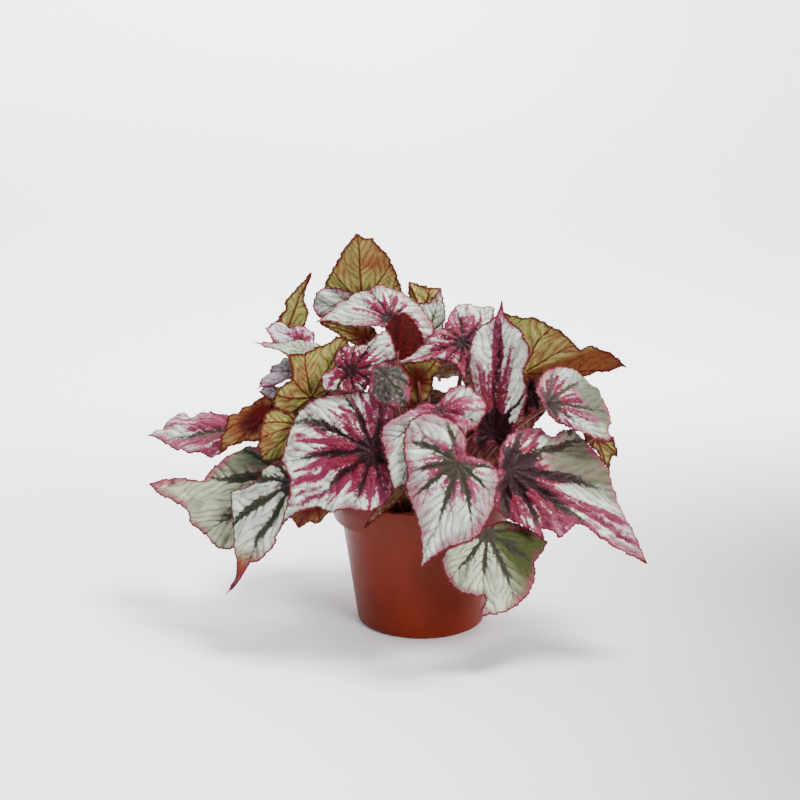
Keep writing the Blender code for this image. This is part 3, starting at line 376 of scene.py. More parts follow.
def unit(vector):
    vector = np.asarray(vector, float)
    return vector / np.linalg.norm(vector)


def photo_ray(across_px, down_px):
    """Direction of view through one point of the photograph."""
    across = (across_px - PHOTO_MIDDLE) / PHOTO_FOCAL_PX
    down = (down_px - PHOTO_MIDDLE) / PHOTO_FOCAL_PX
    return PHOTO_AHEAD + across * PHOTO_RIGHT - down * PHOTO_UP


def photo_point(pixel, depth):
    """The world point seen at a pixel where y is depth."""
    ray = photo_ray(*pixel)
    return PHOTO_FROM + ray * (depth - PHOTO_FROM[1]) / ray[1]


def leaf_axes(leaf):
    """Base point, then forward, left and up in the blade's plane, and its length to the tip."""
    up = unit(leaf["face"])
    if "base_px" in leaf:
        base = photo_point(leaf["base_px"], leaf["depth"])
        ray = photo_ray(*leaf["margin_px"][:2])
        tip = PHOTO_FROM + ray * ((base - PHOTO_FROM) @ up) / (ray @ up)
    else:
        base = np.array(leaf["base"], float)
        tip = np.array(leaf["tip"], float)
    ahead = tip - base
    ahead = ahead - (ahead @ up) * up
    length = np.linalg.norm(ahead)
    ahead = ahead / length
    return base, ahead, np.cross(up, ahead), up, length


def blade_height(leaf, flat, length):
    """How far the bent blade stands off its plane at flat (forward, left) points.

    The tip, the sides and the back lobes each bend along a curve that starts level at the base
    and reaches the leaf's bend values at the tip and half a length to the sides and back.
    """
    tip, left, back, right = leaf["bend"]
    forward = flat[:, 0] / length
    sideways = flat[:, 1] / (0.5 * length)
    rise = tip * np.maximum(forward, 0.0) ** TIP_CURVE
    rise += back * np.maximum(-2.0 * forward, 0.0) ** BACK_CURVE
    rise += left * np.maximum(sideways, 0.0) ** SIDE_CURVE
    rise += right * np.maximum(-sideways, 0.0) ** SIDE_CURVE
    return rise


def seen_margin(leaf):
    """Edge points of a leaf in the photograph, thrown onto its bent blade."""
    base, ahead, side, up, length = leaf_axes(leaf)
    pixels = leaf["margin_px"]
    rays = np.array([photo_ray(*pixel) for pixel in zip(pixels[::2], pixels[1::2])])
    rise = np.zeros(len(rays))
    for _ in range(THROW_STEPS):
        reach = ((base - PHOTO_FROM) @ up + rise) / (rays @ up)
        offset = PHOTO_FROM + rays * reach[:, None] - base
        flat = np.stack([offset @ ahead, offset @ side], axis=1)
        rise = blade_height(leaf, flat, length)
    return flat


def plain_margin(leaf):
    """Edge points of a leaf that the photograph hides; a negative width mirrors it."""
    length = leaf_axes(leaf)[4]
    turn = np.radians([angle for angle, reach in PLAIN_LEAF])
    reach = np.array([reach for angle, reach in PLAIN_LEAF]) * length
    return np.stack([reach * np.cos(turn), reach * np.sin(turn) * leaf["width"]], axis=1)


def leaf_margin(leaf):
    """Edge points in the blade's plane, counter-clockwise from the tip."""
    margin = seen_margin(leaf) if "margin_px" in leaf else plain_margin(leaf)
    following = np.roll(margin, -1, axis=0)
    if np.sum(margin[:, 0] * following[:, 1] - margin[:, 1] * following[:, 0]) < 0:
        margin = np.roll(margin[::-1], 1, axis=0)
    return margin


def rounded(points, per_span):
    """Smooth closed curve through the points, with a corner at the first one."""
    count = len(points)
    spans = []
    for i in range(count):
        before, start, end, after = (points[(i + k) % count] for k in (-1, 0, 1, 2))
        leave = (end - start) * CORNER_PULL if i == 0 else (end - before) * CURVE_PULL
        arrive = (end - start) * CORNER_PULL if i == count - 1 else (after - start) * CURVE_PULL
        t = (np.arange(per_span) / per_span)[:, None]
        spans.append((2 * t**3 - 3 * t**2 + 1) * start + (t**3 - 2 * t**2 + t) * leave
                     + (3 * t**2 - 2 * t**3) * end + (t**3 - t**2) * arrive)
    return np.concatenate(spans)


def evenly(curve, count):
    """count points at equal steps along a closed curve."""
    following = np.roll(curve, -1, axis=0)
    step = np.linalg.norm(following - curve, axis=1)
    walked = np.concatenate([[0.0], np.cumsum(step)])
    wanted = np.arange(count) / count * walked[-1]
    span = np.clip(np.searchsorted(walked, wanted, side="right") - 1, 0, len(step) - 1)
    t = ((wanted - walked[span]) / step[span])[:, None]
    return curve[span] * (1 - t) + following[span] * t


def sheet_normals(points, triangles):
    """Unit normals at the points of a sheet."""
    a, b, c = (points[triangles[:, k]] for k in range(3))
    face = np.cross(b - a, c - a)
    normals = np.zeros_like(points)
    for k in range(3):
        np.add.at(normals, triangles[:, k], face)
    return normals / np.linalg.norm(normals, axis=1)[:, None]


# Fine blades, in mm. Their inner points stand GRID apart, shaken by GRID_SHAKE, and stay
# GRID_CLEAR of a step off the edge.
GRID = 1.25
GRID_SHAKE = 0.06
GRID_CLEAR = 0.62
EDGE_STEP = 0.8
FINE_SPAN = 16
FEWEST_EDGE_POINTS = 40
SKIN = 0.5

# Main veins by angle from the tip in degrees, and side veins
VEIN_ANGLES = (-180, -152, -114, -76, -38, 0, 38, 76, 114, 152, 180)
VEIN_PHASES = (-4.5, -4, -3, -2, -1, 0, 1, 2, 3, 4, 4.5)
MIDDLE_VEIN = 5
VEIN_SWEEP = 0.20
VEIN_UNREST = 5.0
VEIN_BULK = 0.45
SECTOR = math.radians(38)
WANDER_SIZE = 14.0
WANDER_TURN = 5.0
SIDE_VEIN_STEP = 9.0
SIDE_VEIN_LEAN = 1.5
SIDE_VEIN_UNREST = 1.3
UNREST_SIZE = 11.0
NOISE_TABLE = 64

# Noise along the veins: scale and shift across them, then from the base to the edge
RAYS = (1.9, 20, 2.2, 0)
STREAKS = (8.0, 40, 4.5, 9)
WISPS = (19.0, 0, 9.0, 31)

# Colour zones: width of the dark band on side veins, and how softly the zones end
SIDE_BAND = 0.13
DARK_SOFT = 0.12
RED_SOFT = 0.20

# Teeth: a large one takes LARGE_TOOTH small ones, and they fade at the tip and the base
TEETH_STEP = 3.2
LARGE_TOOTH = 2.6
LARGE_TOOTH_DEPTH = 0.95
SMALL_TOOTH_DEPTH = 0.75
TOOTH_UNREST = 0.12
TOOTH_WANDER = 0.35
TOOTH_WAVES = 3
SMALL_TOOTH_WANDER = 2.1
TOOTH_TOP = 0.6
CALM_AT_TIP = 6.0
CALM_AT_BASE = 12.0
NARROW_WALK = 6.0
NARROW_RATIO = 0.4

# Relief of the blade
FRILL_STEP = 13.0
FRILL_HEIGHT = 0.9
PUFF_FROM = 16.0
PUFF_HEIGHT = 2.0
SIDE_PUFF = 1.0
VEIN_GROOVE = 0.6
PLEATS = 6
PLEAT_HEIGHT = 0.28
BLADE_DROP = 1.2

# Fine stalks, and hairs: how many per mm of stalk, their lengths and radii
STALK_STEPS = 28
STALK_SIDES = 12
STALK_FLARE = 0.45
FLARE_REACH = 0.03
STALK_RIDGE = 0.03
STALK_HAIRS = 2.2
STALK_HAIR_LENGTH = (0.9, 2.1)
STALK_HAIR_RADIUS = 0.075
EDGE_HAIR_LENGTH = (0.5, 1.1)
EDGE_HAIR_RADIUS = 0.07

# Backdrop, in m
FLOOR_FRONT = -2.2
SWEEP_FROM = 1.2
SWEEP_RADIUS = 0.9
SWEEP_STEPS = 12
BACKDROP_TOP = 3.5
BACKDROP_HALF = 3.5
FLOOR_TONES = ((236, 232, 231), (232, 229, 229))
# FLOOR_PAINTED_SHADE is painted shade: the floor's colour turns to it towards the right, near the
# front
FLOOR_PAINTED_SHADE = (110, 106, 103)
BACKDROP_TONE = (240, 240, 244)
BACKDROP_GLOW = (0.92, 0.92, 1.0, 1.0)

# Lamps: name, place, target and size in m, watts and colour. Then the surround and the camera.
LAMPS = (
    ("key", (0.5, 0.05, 2.05), (0, 0, 0.12), 0.8, 118, (1.0, 0.985, 0.97)),
    ("front", (1.0, -1.5, 0.9), (0, 0, 0.12), 0.8, 50, (1.0, 0.99, 0.98)),
    ("side", (1.5, 0.0, 0.35), (0, 0, 0.08), 0.6, 16, (1.0, 0.98, 0.96)),
    ("fill", (-1.7, -1.0, 1.1), (0, 0, 0.15), 1.4, 11, (0.96, 0.97, 1.0)),
    ("back", (0.2, 1.0, 1.8), (0, 0, 0.15), 1.0, 24, (1.0, 1.0, 1.0)))
SURROUND_COLOUR = (0.93, 0.94, 1.0, 1.0)
SURROUND_STRENGTH = 0.38
LENS = 85.0
SENSOR = 36.0

# How much each of red, green and blue adds to lightness, and how far colours are deepened
LIGHTNESS = (0.2126, 0.7152, 0.0722)
SHOWN_DEPTH = 1.38

# Silver and its tints, sRGB; the last is silver darkened as painted shade
SILVER = (197, 206, 194)
SAGE = (178, 186, 170)
LILAC = (204, 198, 206)
OLIVE_SILVER = (184, 190, 168)
PAINTED_SHADE_SILVER = (88, 86, 80)

# Upper skin: over the silver, then the red zone, the dark zone and the edge
BLUSH = (212, 184, 194)
VEIN_GREEN = (112, 126, 100)
WINE = (58, 10, 24)
CRIMSON = (116, 30, 51)
PALE_ROSE = (188, 126, 148)
DEEP_ROSE = (74, 14, 32)
ROSE_FRINGE = (186, 128, 148)
NEAR_BLACK = (36, 6, 15)
GREY_GREEN = (80, 80, 70)
GREY_PLUM = (76, 50, 60)
VEIN_RED = (84, 30, 42)
EDGE_ROSE = (146, 46, 80)
EDGE_PINK = (194, 116, 142)
RIM_RED = (104, 18, 42)

# Lower skin
OLIVE = (190, 194, 134)
TAN = (190, 168, 124)
# Painted light on the underside: a painted highlight on the puffs between side veins, and painted
# shade along the side veins
OLIVE_PAINTED_HIGHLIGHT = (216, 204, 166)
OLIVE_PAINTED_SHADE = (144, 126, 82)
COPPER = (170, 100, 76)
BROWN = (142, 92, 66)
RUSSET = (150, 84, 70)
MAROON = (100, 40, 40)
SIDE_VEIN_RED = (120, 42, 34)
MAIN_VEIN_RED = (128, 40, 38)
LOWER_RIM_RED = (108, 20, 32)

# How far each pattern reaches from the base to the edge, as a share: core is solid dark, dark
# runs along the veins in bands as wide as bold says, and red fills between them. pink is the
# width of the speckled edge in mm. grey turns the dark bands grey-green from the base outwards.
# red_turn, shade_turn and dark_turn scale a pattern by direction, in degrees to the left of the
# tip; shade is the colour that shade_turn lays over the skin, from shade_from outwards. russet
# is for undersides.
PLAIN_LOOK = dict(core=0.10, dark=0.66, bold=0.19, red=0.55, pink=2.8, silver=SILVER, grey=0.5,
                  russet=0.3, shade=SAGE, red_turn=((0, 1.0),), dark_turn=((0, 1.0),),
                  shade_turn=((0, 0.0),), shade_from=-0.5, rose=(140, 60, 86))
LOOKS = {
    "leaf_crest": dict(
        russet=0.35, shade=(150, 62, 50), shade_from=0.3,
        shade_turn=((-40, 0.0), (-15, 0.35), (15, 0.35), (40, 0.0))),
    "leaf_top": dict(core=0.08, dark=0.6, bold=0.16, red=0.54, pink=3.8, grey=0.5),
    "leaf_top_left": dict(core=0.0, dark=0.3, bold=0.08, red=0.3, pink=4.5),
    "leaf_under_top": dict(russet=0.9),
    "leaf_folded_left": dict(russet=0.65),
    "leaf_strip_left": dict(core=0.05, dark=0.3, red=0.5, pink=3.6, silver=LILAC),
    "leaf_slim_left": dict(core=0.0, dark=0.2, red=0.1, pink=2.0, silver=SAGE),
    "leaf_olive_left": dict(russet=0.35),
    "leaf_orange": dict(russet=0.6),
    "leaf_russet": dict(russet=1.2),
    "leaf_rays": dict(core=0.1, dark=0.9, bold=0.2, red=0.78, pink=2.6, grey=0.1),
    "leaf_lilac_left": dict(core=0.0, dark=0.6, bold=0.15, red=0.4, pink=3.0, silver=LILAC),
    "leaf_lilac_low": dict(core=0.0, dark=0.5, bold=0.15, red=0.4, pink=3.0, silver=LILAC),
    "leaf_far_left": dict(
        core=0.0, dark=0.95, bold=0.18, red=0.92, pink=8.0, grey=0.8,
        dark_turn=((-60, 0.4), (-20, 1.0), (20, 1.0), (60, 0.6)), rose=(176, 104, 132)),
    "leaf_low_left": dict(
        core=0.05, dark=0.85, bold=0.26, red=0.4, pink=4.0, silver=OLIVE_SILVER, grey=0.8,
        rose=(128, 66, 58), shade=(90, 96, 70), shade_from=0.0,
        shade_turn=((-110, 0.85), (-14, 0.75), (6, 0.0))),
    "leaf_hanging_left": dict(
        core=0.08, dark=0.95, bold=0.3, red=0.35, pink=1.8, grey=1.0, rose=(170, 106, 132),
        shade=(146, 84, 54), shade_from=0.66,
        shade_turn=((-16, 0.0), (-4, 1.0), (4, 1.0), (16, 0.0))),
    "leaf_big_left": dict(
        core=0.12, dark=0.76, bold=0.2, red=0.74, pink=2.6, grey=0.3,
        dark_turn=((-114, 1.0), (-76, 1.5), (-38, 1.0), (38, 0.9)),
        red_turn=((-100, 1.0), (-76, 0.7), (-50, 1.0), (20, 0.9), (60, 1.3))),
    "leaf_middle": dict(
        core=0.05, dark=0.45, bold=0.12, red=0.56, pink=7.0, grey=0.8, rose=(176, 92, 122)),
    "leaf_front": dict(
        core=0.13, dark=0.68, bold=0.28, red=0.48, pink=8.5, grey=0.95, rose=(172, 96, 124)),
    "leaf_big_right": dict(
        core=0.14, dark=0.9, bold=0.27, red=0.78, pink=5.2, grey=0.2, shade=(112, 110, 92),
        rose=(126, 60, 78), shade_from=0.2,
        shade_turn=((12, 0.0), (34, 0.97), (60, 0.97), (78, 0.0)),
        red_turn=((-110, 1.2), (-30, 1.25), (0, 1.2), (20, 0.8), (40, 0.5), (70, 0.5), (90, 0.9))),
    # the shade colour here is painted shade: dark olive over the right lobe, which lies in shadow
    "leaf_low_front": dict(
        core=0.1, dark=0.74, bold=0.34, red=0.0, pink=3.8, grey=0.9, silver=(186, 192, 172),
        shade=(92, 98, 62), shade_turn=((20, 0.0), (50, 1.0), (120, 0.95), (180, 0.5))),
    "leaf_tall": dict(
        core=0.16, dark=1.0, bold=0.14, red=0.92, pink=2.4, grey=0.0, rose=(128, 62, 84),
        red_turn=((-70, 0.6), (-22, 0.62), (0, 1.05), (22, 0.72), (70, 0.6))),
    "leaf_crimson_back": dict(core=0.1, dark=0.75, bold=0.16, red=0.76, pink=4.0, grey=0.2),
    "leaf_olive_right": dict(
        russet=0.3, shade=(152, 92, 70), shade_from=-0.2,
        shade_turn=((-26, 0.0), (-17, 0.95), (24, 0.95), (60, 0.3))),
    "leaf_upper_right": dict(
        core=0.16, dark=0.85, bold=0.2, red=0.62, pink=3.0, grey=0.6, rose=(104, 44, 62),
        shade=(96, 108, 88), shade_from=0.35,
        shade_turn=((0, 0.0), (18, 0.94), (60, 0.94), (90, 0.3))),
    "leaf_right_flap": dict(russet=0.8),
    "leaf_olive_middle": dict(russet=1.0),
    # russet=1.8 darkens the whole underside to maroon: partly its own colour, partly painted shade,
    # as this leaf lies deep in shade
    "leaf_maroon": dict(russet=1.8),
    "leaf_grey_back": dict(core=0.05, dark=0.8, bold=0.2, red=0.3, pink=2.4, grey=0.8),
    "leaf_olive_back": dict(russet=0.45),
    # painted shade: this leaf's silver is a deep grey-green, as the leaf lies in shade
    "leaf_grey_small": dict(
        core=0.1, dark=0.8, bold=0.2, red=0.1, pink=3.0, silver=PAINTED_SHADE_SILVER, grey=0.9),
    "leaf_brown_right": dict(
        core=0.3, dark=1.0, bold=0.3, red=0.9, pink=2.0, grey=0.0, silver=(138, 114, 88),
        rose=(128, 66, 56)),
    "leaf_curled_left": dict(russet=1.2),
    "leaf_rim": dict(russet=0.2),
    "leaf_furled": dict(core=0.0, dark=0.0, red=0.0, pink=0.6, silver=(150, 108, 80)),
    # russet=1.2 makes these undersides maroon: partly their own colour, partly painted shade of the
    # plant's dark inside
    "rear_leaf_left": dict(russet=1.2, core=0.12, dark=0.8, bold=0.2, red=0.75),
    "rear_leaf_upper_left": dict(
        russet=1.2, core=0.08, dark=0.7, bold=0.16, red=0.45, pink=4.5, grey=0.8),
    "rear_leaf_upper": dict(russet=1.2, core=0.15, dark=0.95, bold=0.24, red=0.85),
    "rear_leaf_upper_right": dict(
        russet=1.2, core=0.1, dark=0.7, bold=0.18, red=0.6, pink=4.5, grey=0.6),
    "rear_leaf_low_left": dict(
        russet=1.2, core=0.08, dark=0.9, bold=0.2, red=0.2, silver=SAGE, grey=0.9),
    "rear_leaf_low": dict(russet=1.2, core=0.15, dark=0.9, bold=0.22, red=0.8, grey=0.4),
    "rear_leaf_low_right": dict(
        russet=1.2, core=0.08, dark=0.7, bold=0.18, red=0.6, pink=4.0, grey=0.5),
}

FIELDS = ("edge", "share", "main", "main_near", "side", "side_near", "dark", "red", "ripe",
          "streak", "shade")
HAIR_FACES = ((0, 2, 1), (0, 1, 3), (1, 2, 3), (2, 0, 3))
HAIR_MAP = ((0.1, 0.1), (0.8, 0.1), (0.45, 0.8), (0.4, 0.4))

# Rooms of a leaf's bake map: low and high corners, heights of the rim's two rows, and the low
# corner and size of the stalk's room
UPPER_ROOM = ((0.01, 0.01), (0.49, 0.87))
LOWER_ROOM = ((0.51, 0.01), (0.99, 0.87))
HAIR_ROOM = ((0.01, 0.945), (0.99, 0.995))
RIM_ROWS = (0.878, 0.872)
STALK_ROOM = (0.02, 0.885)
STALK_ROOM_SIZE = (0.96, 0.05)


def smoothstep(low, high, value):
    t = np.clip((value - low) / (high - low), 0.0, 1.0)
    return t * t * (3 - 2 * t)


def narrowness(edge, around):
    """1 on a plain stretch of edge, less where the blade is a narrow spike or a notch."""
    index = np.arange(len(edge))
    steps = np.abs(index[:, None] - index[None])
    walk = np.minimum(steps, len(edge) - steps) * around / len(edge)
    gap = np.linalg.norm(edge[:, None] - edge[None], axis=2)
    ratio = np.where(walk > NARROW_WALK, gap / np.maximum(walk, NARROW_WALK), 1.0).min(axis=1)
    return np.clip(ratio / NARROW_RATIO, 0.0, 1.0)


def edge_outward(edge):
    """Unit vectors that point out of a counter-clockwise edge."""
    along = np.roll(edge, -1, axis=0) - np.roll(edge, 1, axis=0)
    along /= np.linalg.norm(along, axis=1)[:, None]
    return np.stack([along[:, 1], -along[:, 0]], axis=1)


def cut_edge(curve, rng):
    """The leaf's outline at fine steps, cut in uneven teeth that lean towards the tip."""
    around = np.linalg.norm(np.roll(curve, -1, axis=0) - curve, axis=1).sum()
    count = max(int(around / EDGE_STEP), FEWEST_EDGE_POINTS)
    edge = evenly(curve, count)
    s = np.arange(count) / count
    wander = TOOTH_WANDER * np.sin(2 * math.pi * TOOTH_WAVES * s + rng.uniform(0, 6))
    wander += rng.uniform(0, 1)
    large = (around / TEETH_STEP / LARGE_TOOTH * s + wander) % 1.0
    small = (around / TEETH_STEP * s + SMALL_TOOTH_WANDER * wander) % 1.0
    depth = LARGE_TOOTH_DEPTH * np.where(s < 0.5, 1 - large, large)
    depth += SMALL_TOOTH_DEPTH * np.where(s < 0.5, 1 - small, small)
    depth += TOOTH_UNREST * rng.uniform(-1, 1, count)
    depth *= np.minimum(np.minimum(s, 1 - s) * around / CALM_AT_TIP, 1.0)
    depth *= narrowness(edge, around)
    depth *= np.minimum(np.linalg.norm(edge, axis=1) / CALM_AT_BASE, 1.0)
    return edge + edge_outward(edge) * (TOOTH_TOP - depth)[:, None], around


def inside(points, edge):
    """Which points lie inside the closed edge."""
    x, y = points[:, 0][:, None], points[:, 1][:, None]
    ax, ay = edge[:, 0][None], edge[:, 1][None]
    bx, by = np.roll(edge[:, 0], -1)[None], np.roll(edge[:, 1], -1)[None]
    spans = (ay > y) != (by > y)
    rise = np.where(by == ay, 1.0, by - ay)
    crossing = ax + (y - ay) * (bx - ax) / rise
    return (np.sum(spans & (x < crossing), axis=1) % 2) == 1


def edge_distance(points, edge):
    """Distance to the nearest edge point, and which one it is."""
    far = np.empty(len(points))
    which = np.empty(len(points), int)
    for start in range(0, len(points), 1000):
        block = points[start:start + 1000]
        gap = np.linalg.norm(block[:, None] - edge[None], axis=2)
        which[start:start + 1000] = np.argmin(gap, axis=1)
        far[start:start + 1000] = gap[np.arange(len(block)), which[start:start + 1000]]
    return far, which


def fill(edge, rng):
    """Edge points followed by a hexagonal grid of inner points, and their triangles."""
    low, high = edge.min(0), edge.max(0)
    rows = np.arange(low[1], high[1], GRID * math.sqrt(3) / 2)
    grid = []
    for number, y in enumerate(rows):
        xs = np.arange(low[0] + (number % 2) * GRID / 2, high[0], GRID)
        grid.append(np.stack([xs, np.full(len(xs), y)], axis=1))
    grid = np.concatenate(grid)
    grid += rng.uniform(-GRID_SHAKE, GRID_SHAKE, grid.shape)
    grid = grid[inside(grid, edge)]
    grid = grid[edge_distance(grid, edge)[0] > GRID * GRID_CLEAR]
    points = np.concatenate([edge, grid])
    found = delaunay_2d_cdt([Vector(p) for p in points], [], [list(range(len(edge)))], 1, 1e-6)
    home = [ids[0] for ids in found[3]]
    triangles = np.array([[home[corner] for corner in face] for face in found[2]])
    a, b, c = (points[triangles[:, k]] for k in range(3))
    ab, ac = b - a, c - a
    turned = ab[:, 0] * ac[:, 1] - ab[:, 1] * ac[:, 0] < 0
    triangles[turned] = triangles[turned][:, ::-1]
    return points, triangles


def soft_noise(x, y, table):
    """Smooth noise from 0 to 1, from a square table of random heights."""
    size = len(table)
    column, row = np.floor(x).astype(int), np.floor(y).astype(int)
    right, up = x - column, y - row
    right, up = right * right * (3 - 2 * right), up * up * (3 - 2 * up)

    def at(a, b):
        return table[a % size, b % size]

    low = at(column, row) * (1 - right) + at(column + 1, row) * right
    high = at(column, row + 1) * (1 - right) + at(column + 1, row + 1) * right
    return low * (1 - up) + high * up


def by_turn(table, turn):
    """A value that changes with direction, from (degrees, value) pairs."""
    angles, values = zip(*table)
    return np.interp(turn, angles, values)


def vein_fields(flat, edge, look, rng):
    """Where each point lies against the veins, the edge and the leaf's colour zones."""
    reach = np.linalg.norm(flat, axis=1)
    length = reach.max()
    away, nearest = edge_distance(flat, edge)
    share = reach / (reach + away + 1e-6)
    turn = np.degrees(np.arctan2(flat[:, 1], flat[:, 0]))

    # Main veins fan out from the base, and phase counts them from the middle one
    bent = turn * (1 + VEIN_SWEEP * share * (1 - (turn / 180) ** 2))
    angles = np.array(VEIN_ANGLES, float)
    angles[1:-1] += rng.uniform(-VEIN_UNREST, VEIN_UNREST, len(angles) - 2)
    angles[MIDDLE_VEIN] = 0.0
    table = rng.uniform(0, 1, (NOISE_TABLE, NOISE_TABLE))
    wander = soft_noise(flat[:, 0] / WANDER_SIZE + 7, flat[:, 1] / WANDER_SIZE + 5, table) - 0.5
    wander *= WANDER_TURN * smoothstep(0.1, 0.5, share)
    phase = np.interp(bent + wander, angles, VEIN_PHASES)
    vein = np.round(phase)
    across = np.abs(phase - vein)
    sector = reach * SECTOR
    lateral = sector * across

    # Side veins leave the main ones on alternate sides
    step = SIDE_VEIN_STEP * (0.55 + 0.45 * min(length / 80.0, 1.2))
    unrest = soft_noise(flat[:, 0] / UNREST_SIZE, flat[:, 1] / UNREST_SIZE, table) - 0.5
    side_phase = (reach - SIDE_VEIN_LEAN * lateral) / step
    side_phase += np.where(phase > vein, 0.5, 0.0) + SIDE_VEIN_UNREST * unrest
    side_near = np.cos(2 * math.pi * side_phase)

    rays, streaks, wisps = (soft_noise(phase * a + b, share * c + d, table)
                            for a, b, c, d in (RAYS, STREAKS, WISPS))
    jag = 0.6 * streaks + 0.4 * wisps - 0.5

    span = 0.5 * share + 0.6 * reach / length
    reaches = look["dark"] * rng.uniform(0.86, 1.12, len(VEIN_ANGLES))
    reaches = reaches[vein.astype(int) + MIDDLE_VEIN] * by_turn(look["dark_turn"], turn)
    run = span / np.maximum(reaches, 0.01)
    band = look["bold"] * np.clip(1 - run**2, 0, 1) * (1 + 1.5 * jag)
    side_run = np.clip(1.1 - run, 0, 1) * smoothstep(0.25, 0.6, run)
    band += SIDE_BAND * side_run * np.maximum(side_near, 0)
    band += 1.2 * np.clip(1.3 - reach / max(look["core"] * length, 0.001), 0, 1)
    dark = np.clip((band - across) / DARK_SOFT, -1, 1) if look["dark"] > 0 else -np.ones(len(flat))
    red_edge = look["red"] * (1 + 1.1 * jag + 0.4 * (rays - 0.5)) * by_turn(look["red_turn"], turn)
    shade = by_turn(look["shade_turn"], turn) * smoothstep(0, 0.3, span - look["shade_from"])
    return {
        "edge": away,
        "share": share,
        "main": sector / (2 * math.pi) * np.sin(2 * math.pi * phase),
        "main_near": np.cos(2 * math.pi * phase),
        "side": step / (2 * math.pi) * np.sin(2 * math.pi * side_phase),
        "side_near": side_near * smoothstep(0.5, 0.40, across),
        "dark": dark,
        "red": np.clip((red_edge - span) / RED_SOFT, -1, 1),
        "ripe": np.clip(span / np.maximum(look["red"], 0.01), 0, 2),
        "streak": 0.55 * streaks + 0.45 * wisps,
        "shade": shade,
        "phase": phase,
        "sector": sector,
        "lateral": lateral,
        "where": nearest / len(edge),
    }


def fine_height(leaf, flat, length, around, veins, rng):
    """Height of the fine blade over the plane: the bend, ripples, pleats and sunken veins."""
    share, sector, where = veins["share"], veins["sector"], veins["where"]
    spread = np.minimum(np.linalg.norm(flat, axis=1) / (RIPPLE_FROM * length), 1.0)
    height = RIPPLE_HEIGHT * spread * share**3 * np.sin(2 * math.pi * RIPPLES * where)
    waves = round(around / FRILL_STEP)
    swell = 0.8 + 0.5 * np.sin(2 * math.pi * 5 * where + rng.uniform(0, 6))
    frill = np.sin(2 * math.pi * waves * where + 1.5 * np.sin(2 * math.pi * 3 * where))
    height += FRILL_HEIGHT * swell * spread * share**7 * frill
    room = np.clip(sector / PUFF_FROM, 0.0, 1.0)
    height += PUFF_HEIGHT * room * ((1 - veins["main_near"]) / 2) ** 0.8
    height -= VEIN_GROOVE * np.exp(-veins["lateral"] ** 2) * (1 - 0.6 * share)
    height += SIDE_PUFF * room * (1 - veins["side_near"]) / 2 * smoothstep(0.3, 3.5, veins["edge"])
    pleat = np.cos(2 * math.pi * veins["phase"] * PLEATS)
    height += PLEAT_HEIGHT * pleat * smoothstep(0.4, 0.95, share) * room
    return height + blade_height(leaf, flat, length) - BLADE_DROP * room


def link_mesh(name, points, faces, *materials):
    """A new object in the scene from points in metres."""
    mesh = bpy.data.meshes.new(name)
    mesh.from_pydata([tuple(point) for point in points], [], faces)
    mesh.update()
    for material in materials:
        mesh.materials.append(material)
    thing = bpy.data.objects.new(name, mesh)
    bpy.context.scene.collection.objects.link(thing)
    return thing


class Batch:
    """Triangles gathered for one mesh, with maps per corner and values per point."""

    def __init__(self, names):
        self.points, self.faces, self.leaf_map, self.bake_map = [], [], [], []
        self.slots, self.flats = [], []
        self.fields = {name: [] for name in names}
        self.count = 0

    def add(self, points, faces, leaf_map, bake_map, slot, fields=None, sharp=False):
        """leaf_map and bake_map hold one place per point of this addition."""
        faces = np.asarray(faces, int)
        self.points.append(points)
        self.faces.append(faces + self.count)
        self.leaf_map.append(np.asarray(leaf_map)[faces].reshape(-1, 2))
        self.bake_map.append(np.asarray(bake_map)[faces].reshape(-1, 2))
        self.slots.append(np.full(len(faces), slot))
        self.flats.append(np.full(len(faces), sharp))
        for name, rows in self.fields.items():
            given = (fields or {}).get(name, np.zeros(len(points)))
            rows.append(np.broadcast_to(given, len(points)))
        self.count += len(points)

    def build(self, name, materials):
        points = np.concatenate(self.points) * MM
        thing = link_mesh(name, points.tolist(), np.concatenate(self.faces).tolist(), *materials)
        mesh = thing.data
        for title, rows in (("Leaf", self.leaf_map), ("OFBake", self.bake_map)):
            layer = mesh.uv_layers.new(name=title)
            layer.data.foreach_set("uv", np.concatenate(rows).astype(np.float32).ravel())
        for title, rows in self.fields.items():
            layer = mesh.attributes.new(title, "FLOAT", "POINT")
            layer.data.foreach_set("value", np.concatenate(rows).astype(np.float32))
        mesh.polygons.foreach_set("material_index", np.concatenate(self.slots).astype(np.int32))
        mesh.polygons.foreach_set("use_smooth", ~np.concatenate(self.flats))
        mesh.update()
        return thing


def fit_map(points, low, high):
    """Points laid into a rectangle of the bake map at one scale."""
    scale = ((np.array(high) - low) / np.ptp(points, axis=0)).min()
    return np.array(low) + (points - points.min(0)) * scale


def hair_points(root, direction, length, radius):
    """A closed three-sided needle."""
    direction = unit(direction)
    helper = np.array((0.0, 0.0, 1.0)) if abs(direction[2]) < 0.8 else np.array((1.0, 0.0, 0.0))
    first = unit(np.cross(direction, helper))
    second = np.cross(direction, first)
    points = []
    for k in range(3):
        turn = 2 * math.pi * k / 3
        points.append(root + radius * (math.cos(turn) * first + math.sin(turn) * second))
    points.append(root + direction * length)
    return points


def add_hairs(batch, hairs, slot, low, high):
    """Needles from (root, direction, length, radius), each with its own spot of the bake map."""
    side = math.ceil(math.sqrt(len(hairs)))
    cell = (np.array(high) - low) / side
    points, faces, bake = [], [], []
    for number, (root, direction, length, radius) in enumerate(hairs):
        first = len(points)
        points += hair_points(root, direction, length, radius)
        faces += [(first + a, first + b, first + c) for a, b, c in HAIR_FACES]
        corner = np.array(low) + cell * (number % side, number // side)
        bake += [corner + cell * spot for spot in HAIR_MAP]
    points = np.array(points)
    batch.add(points, faces, points[:, :2], bake, slot)


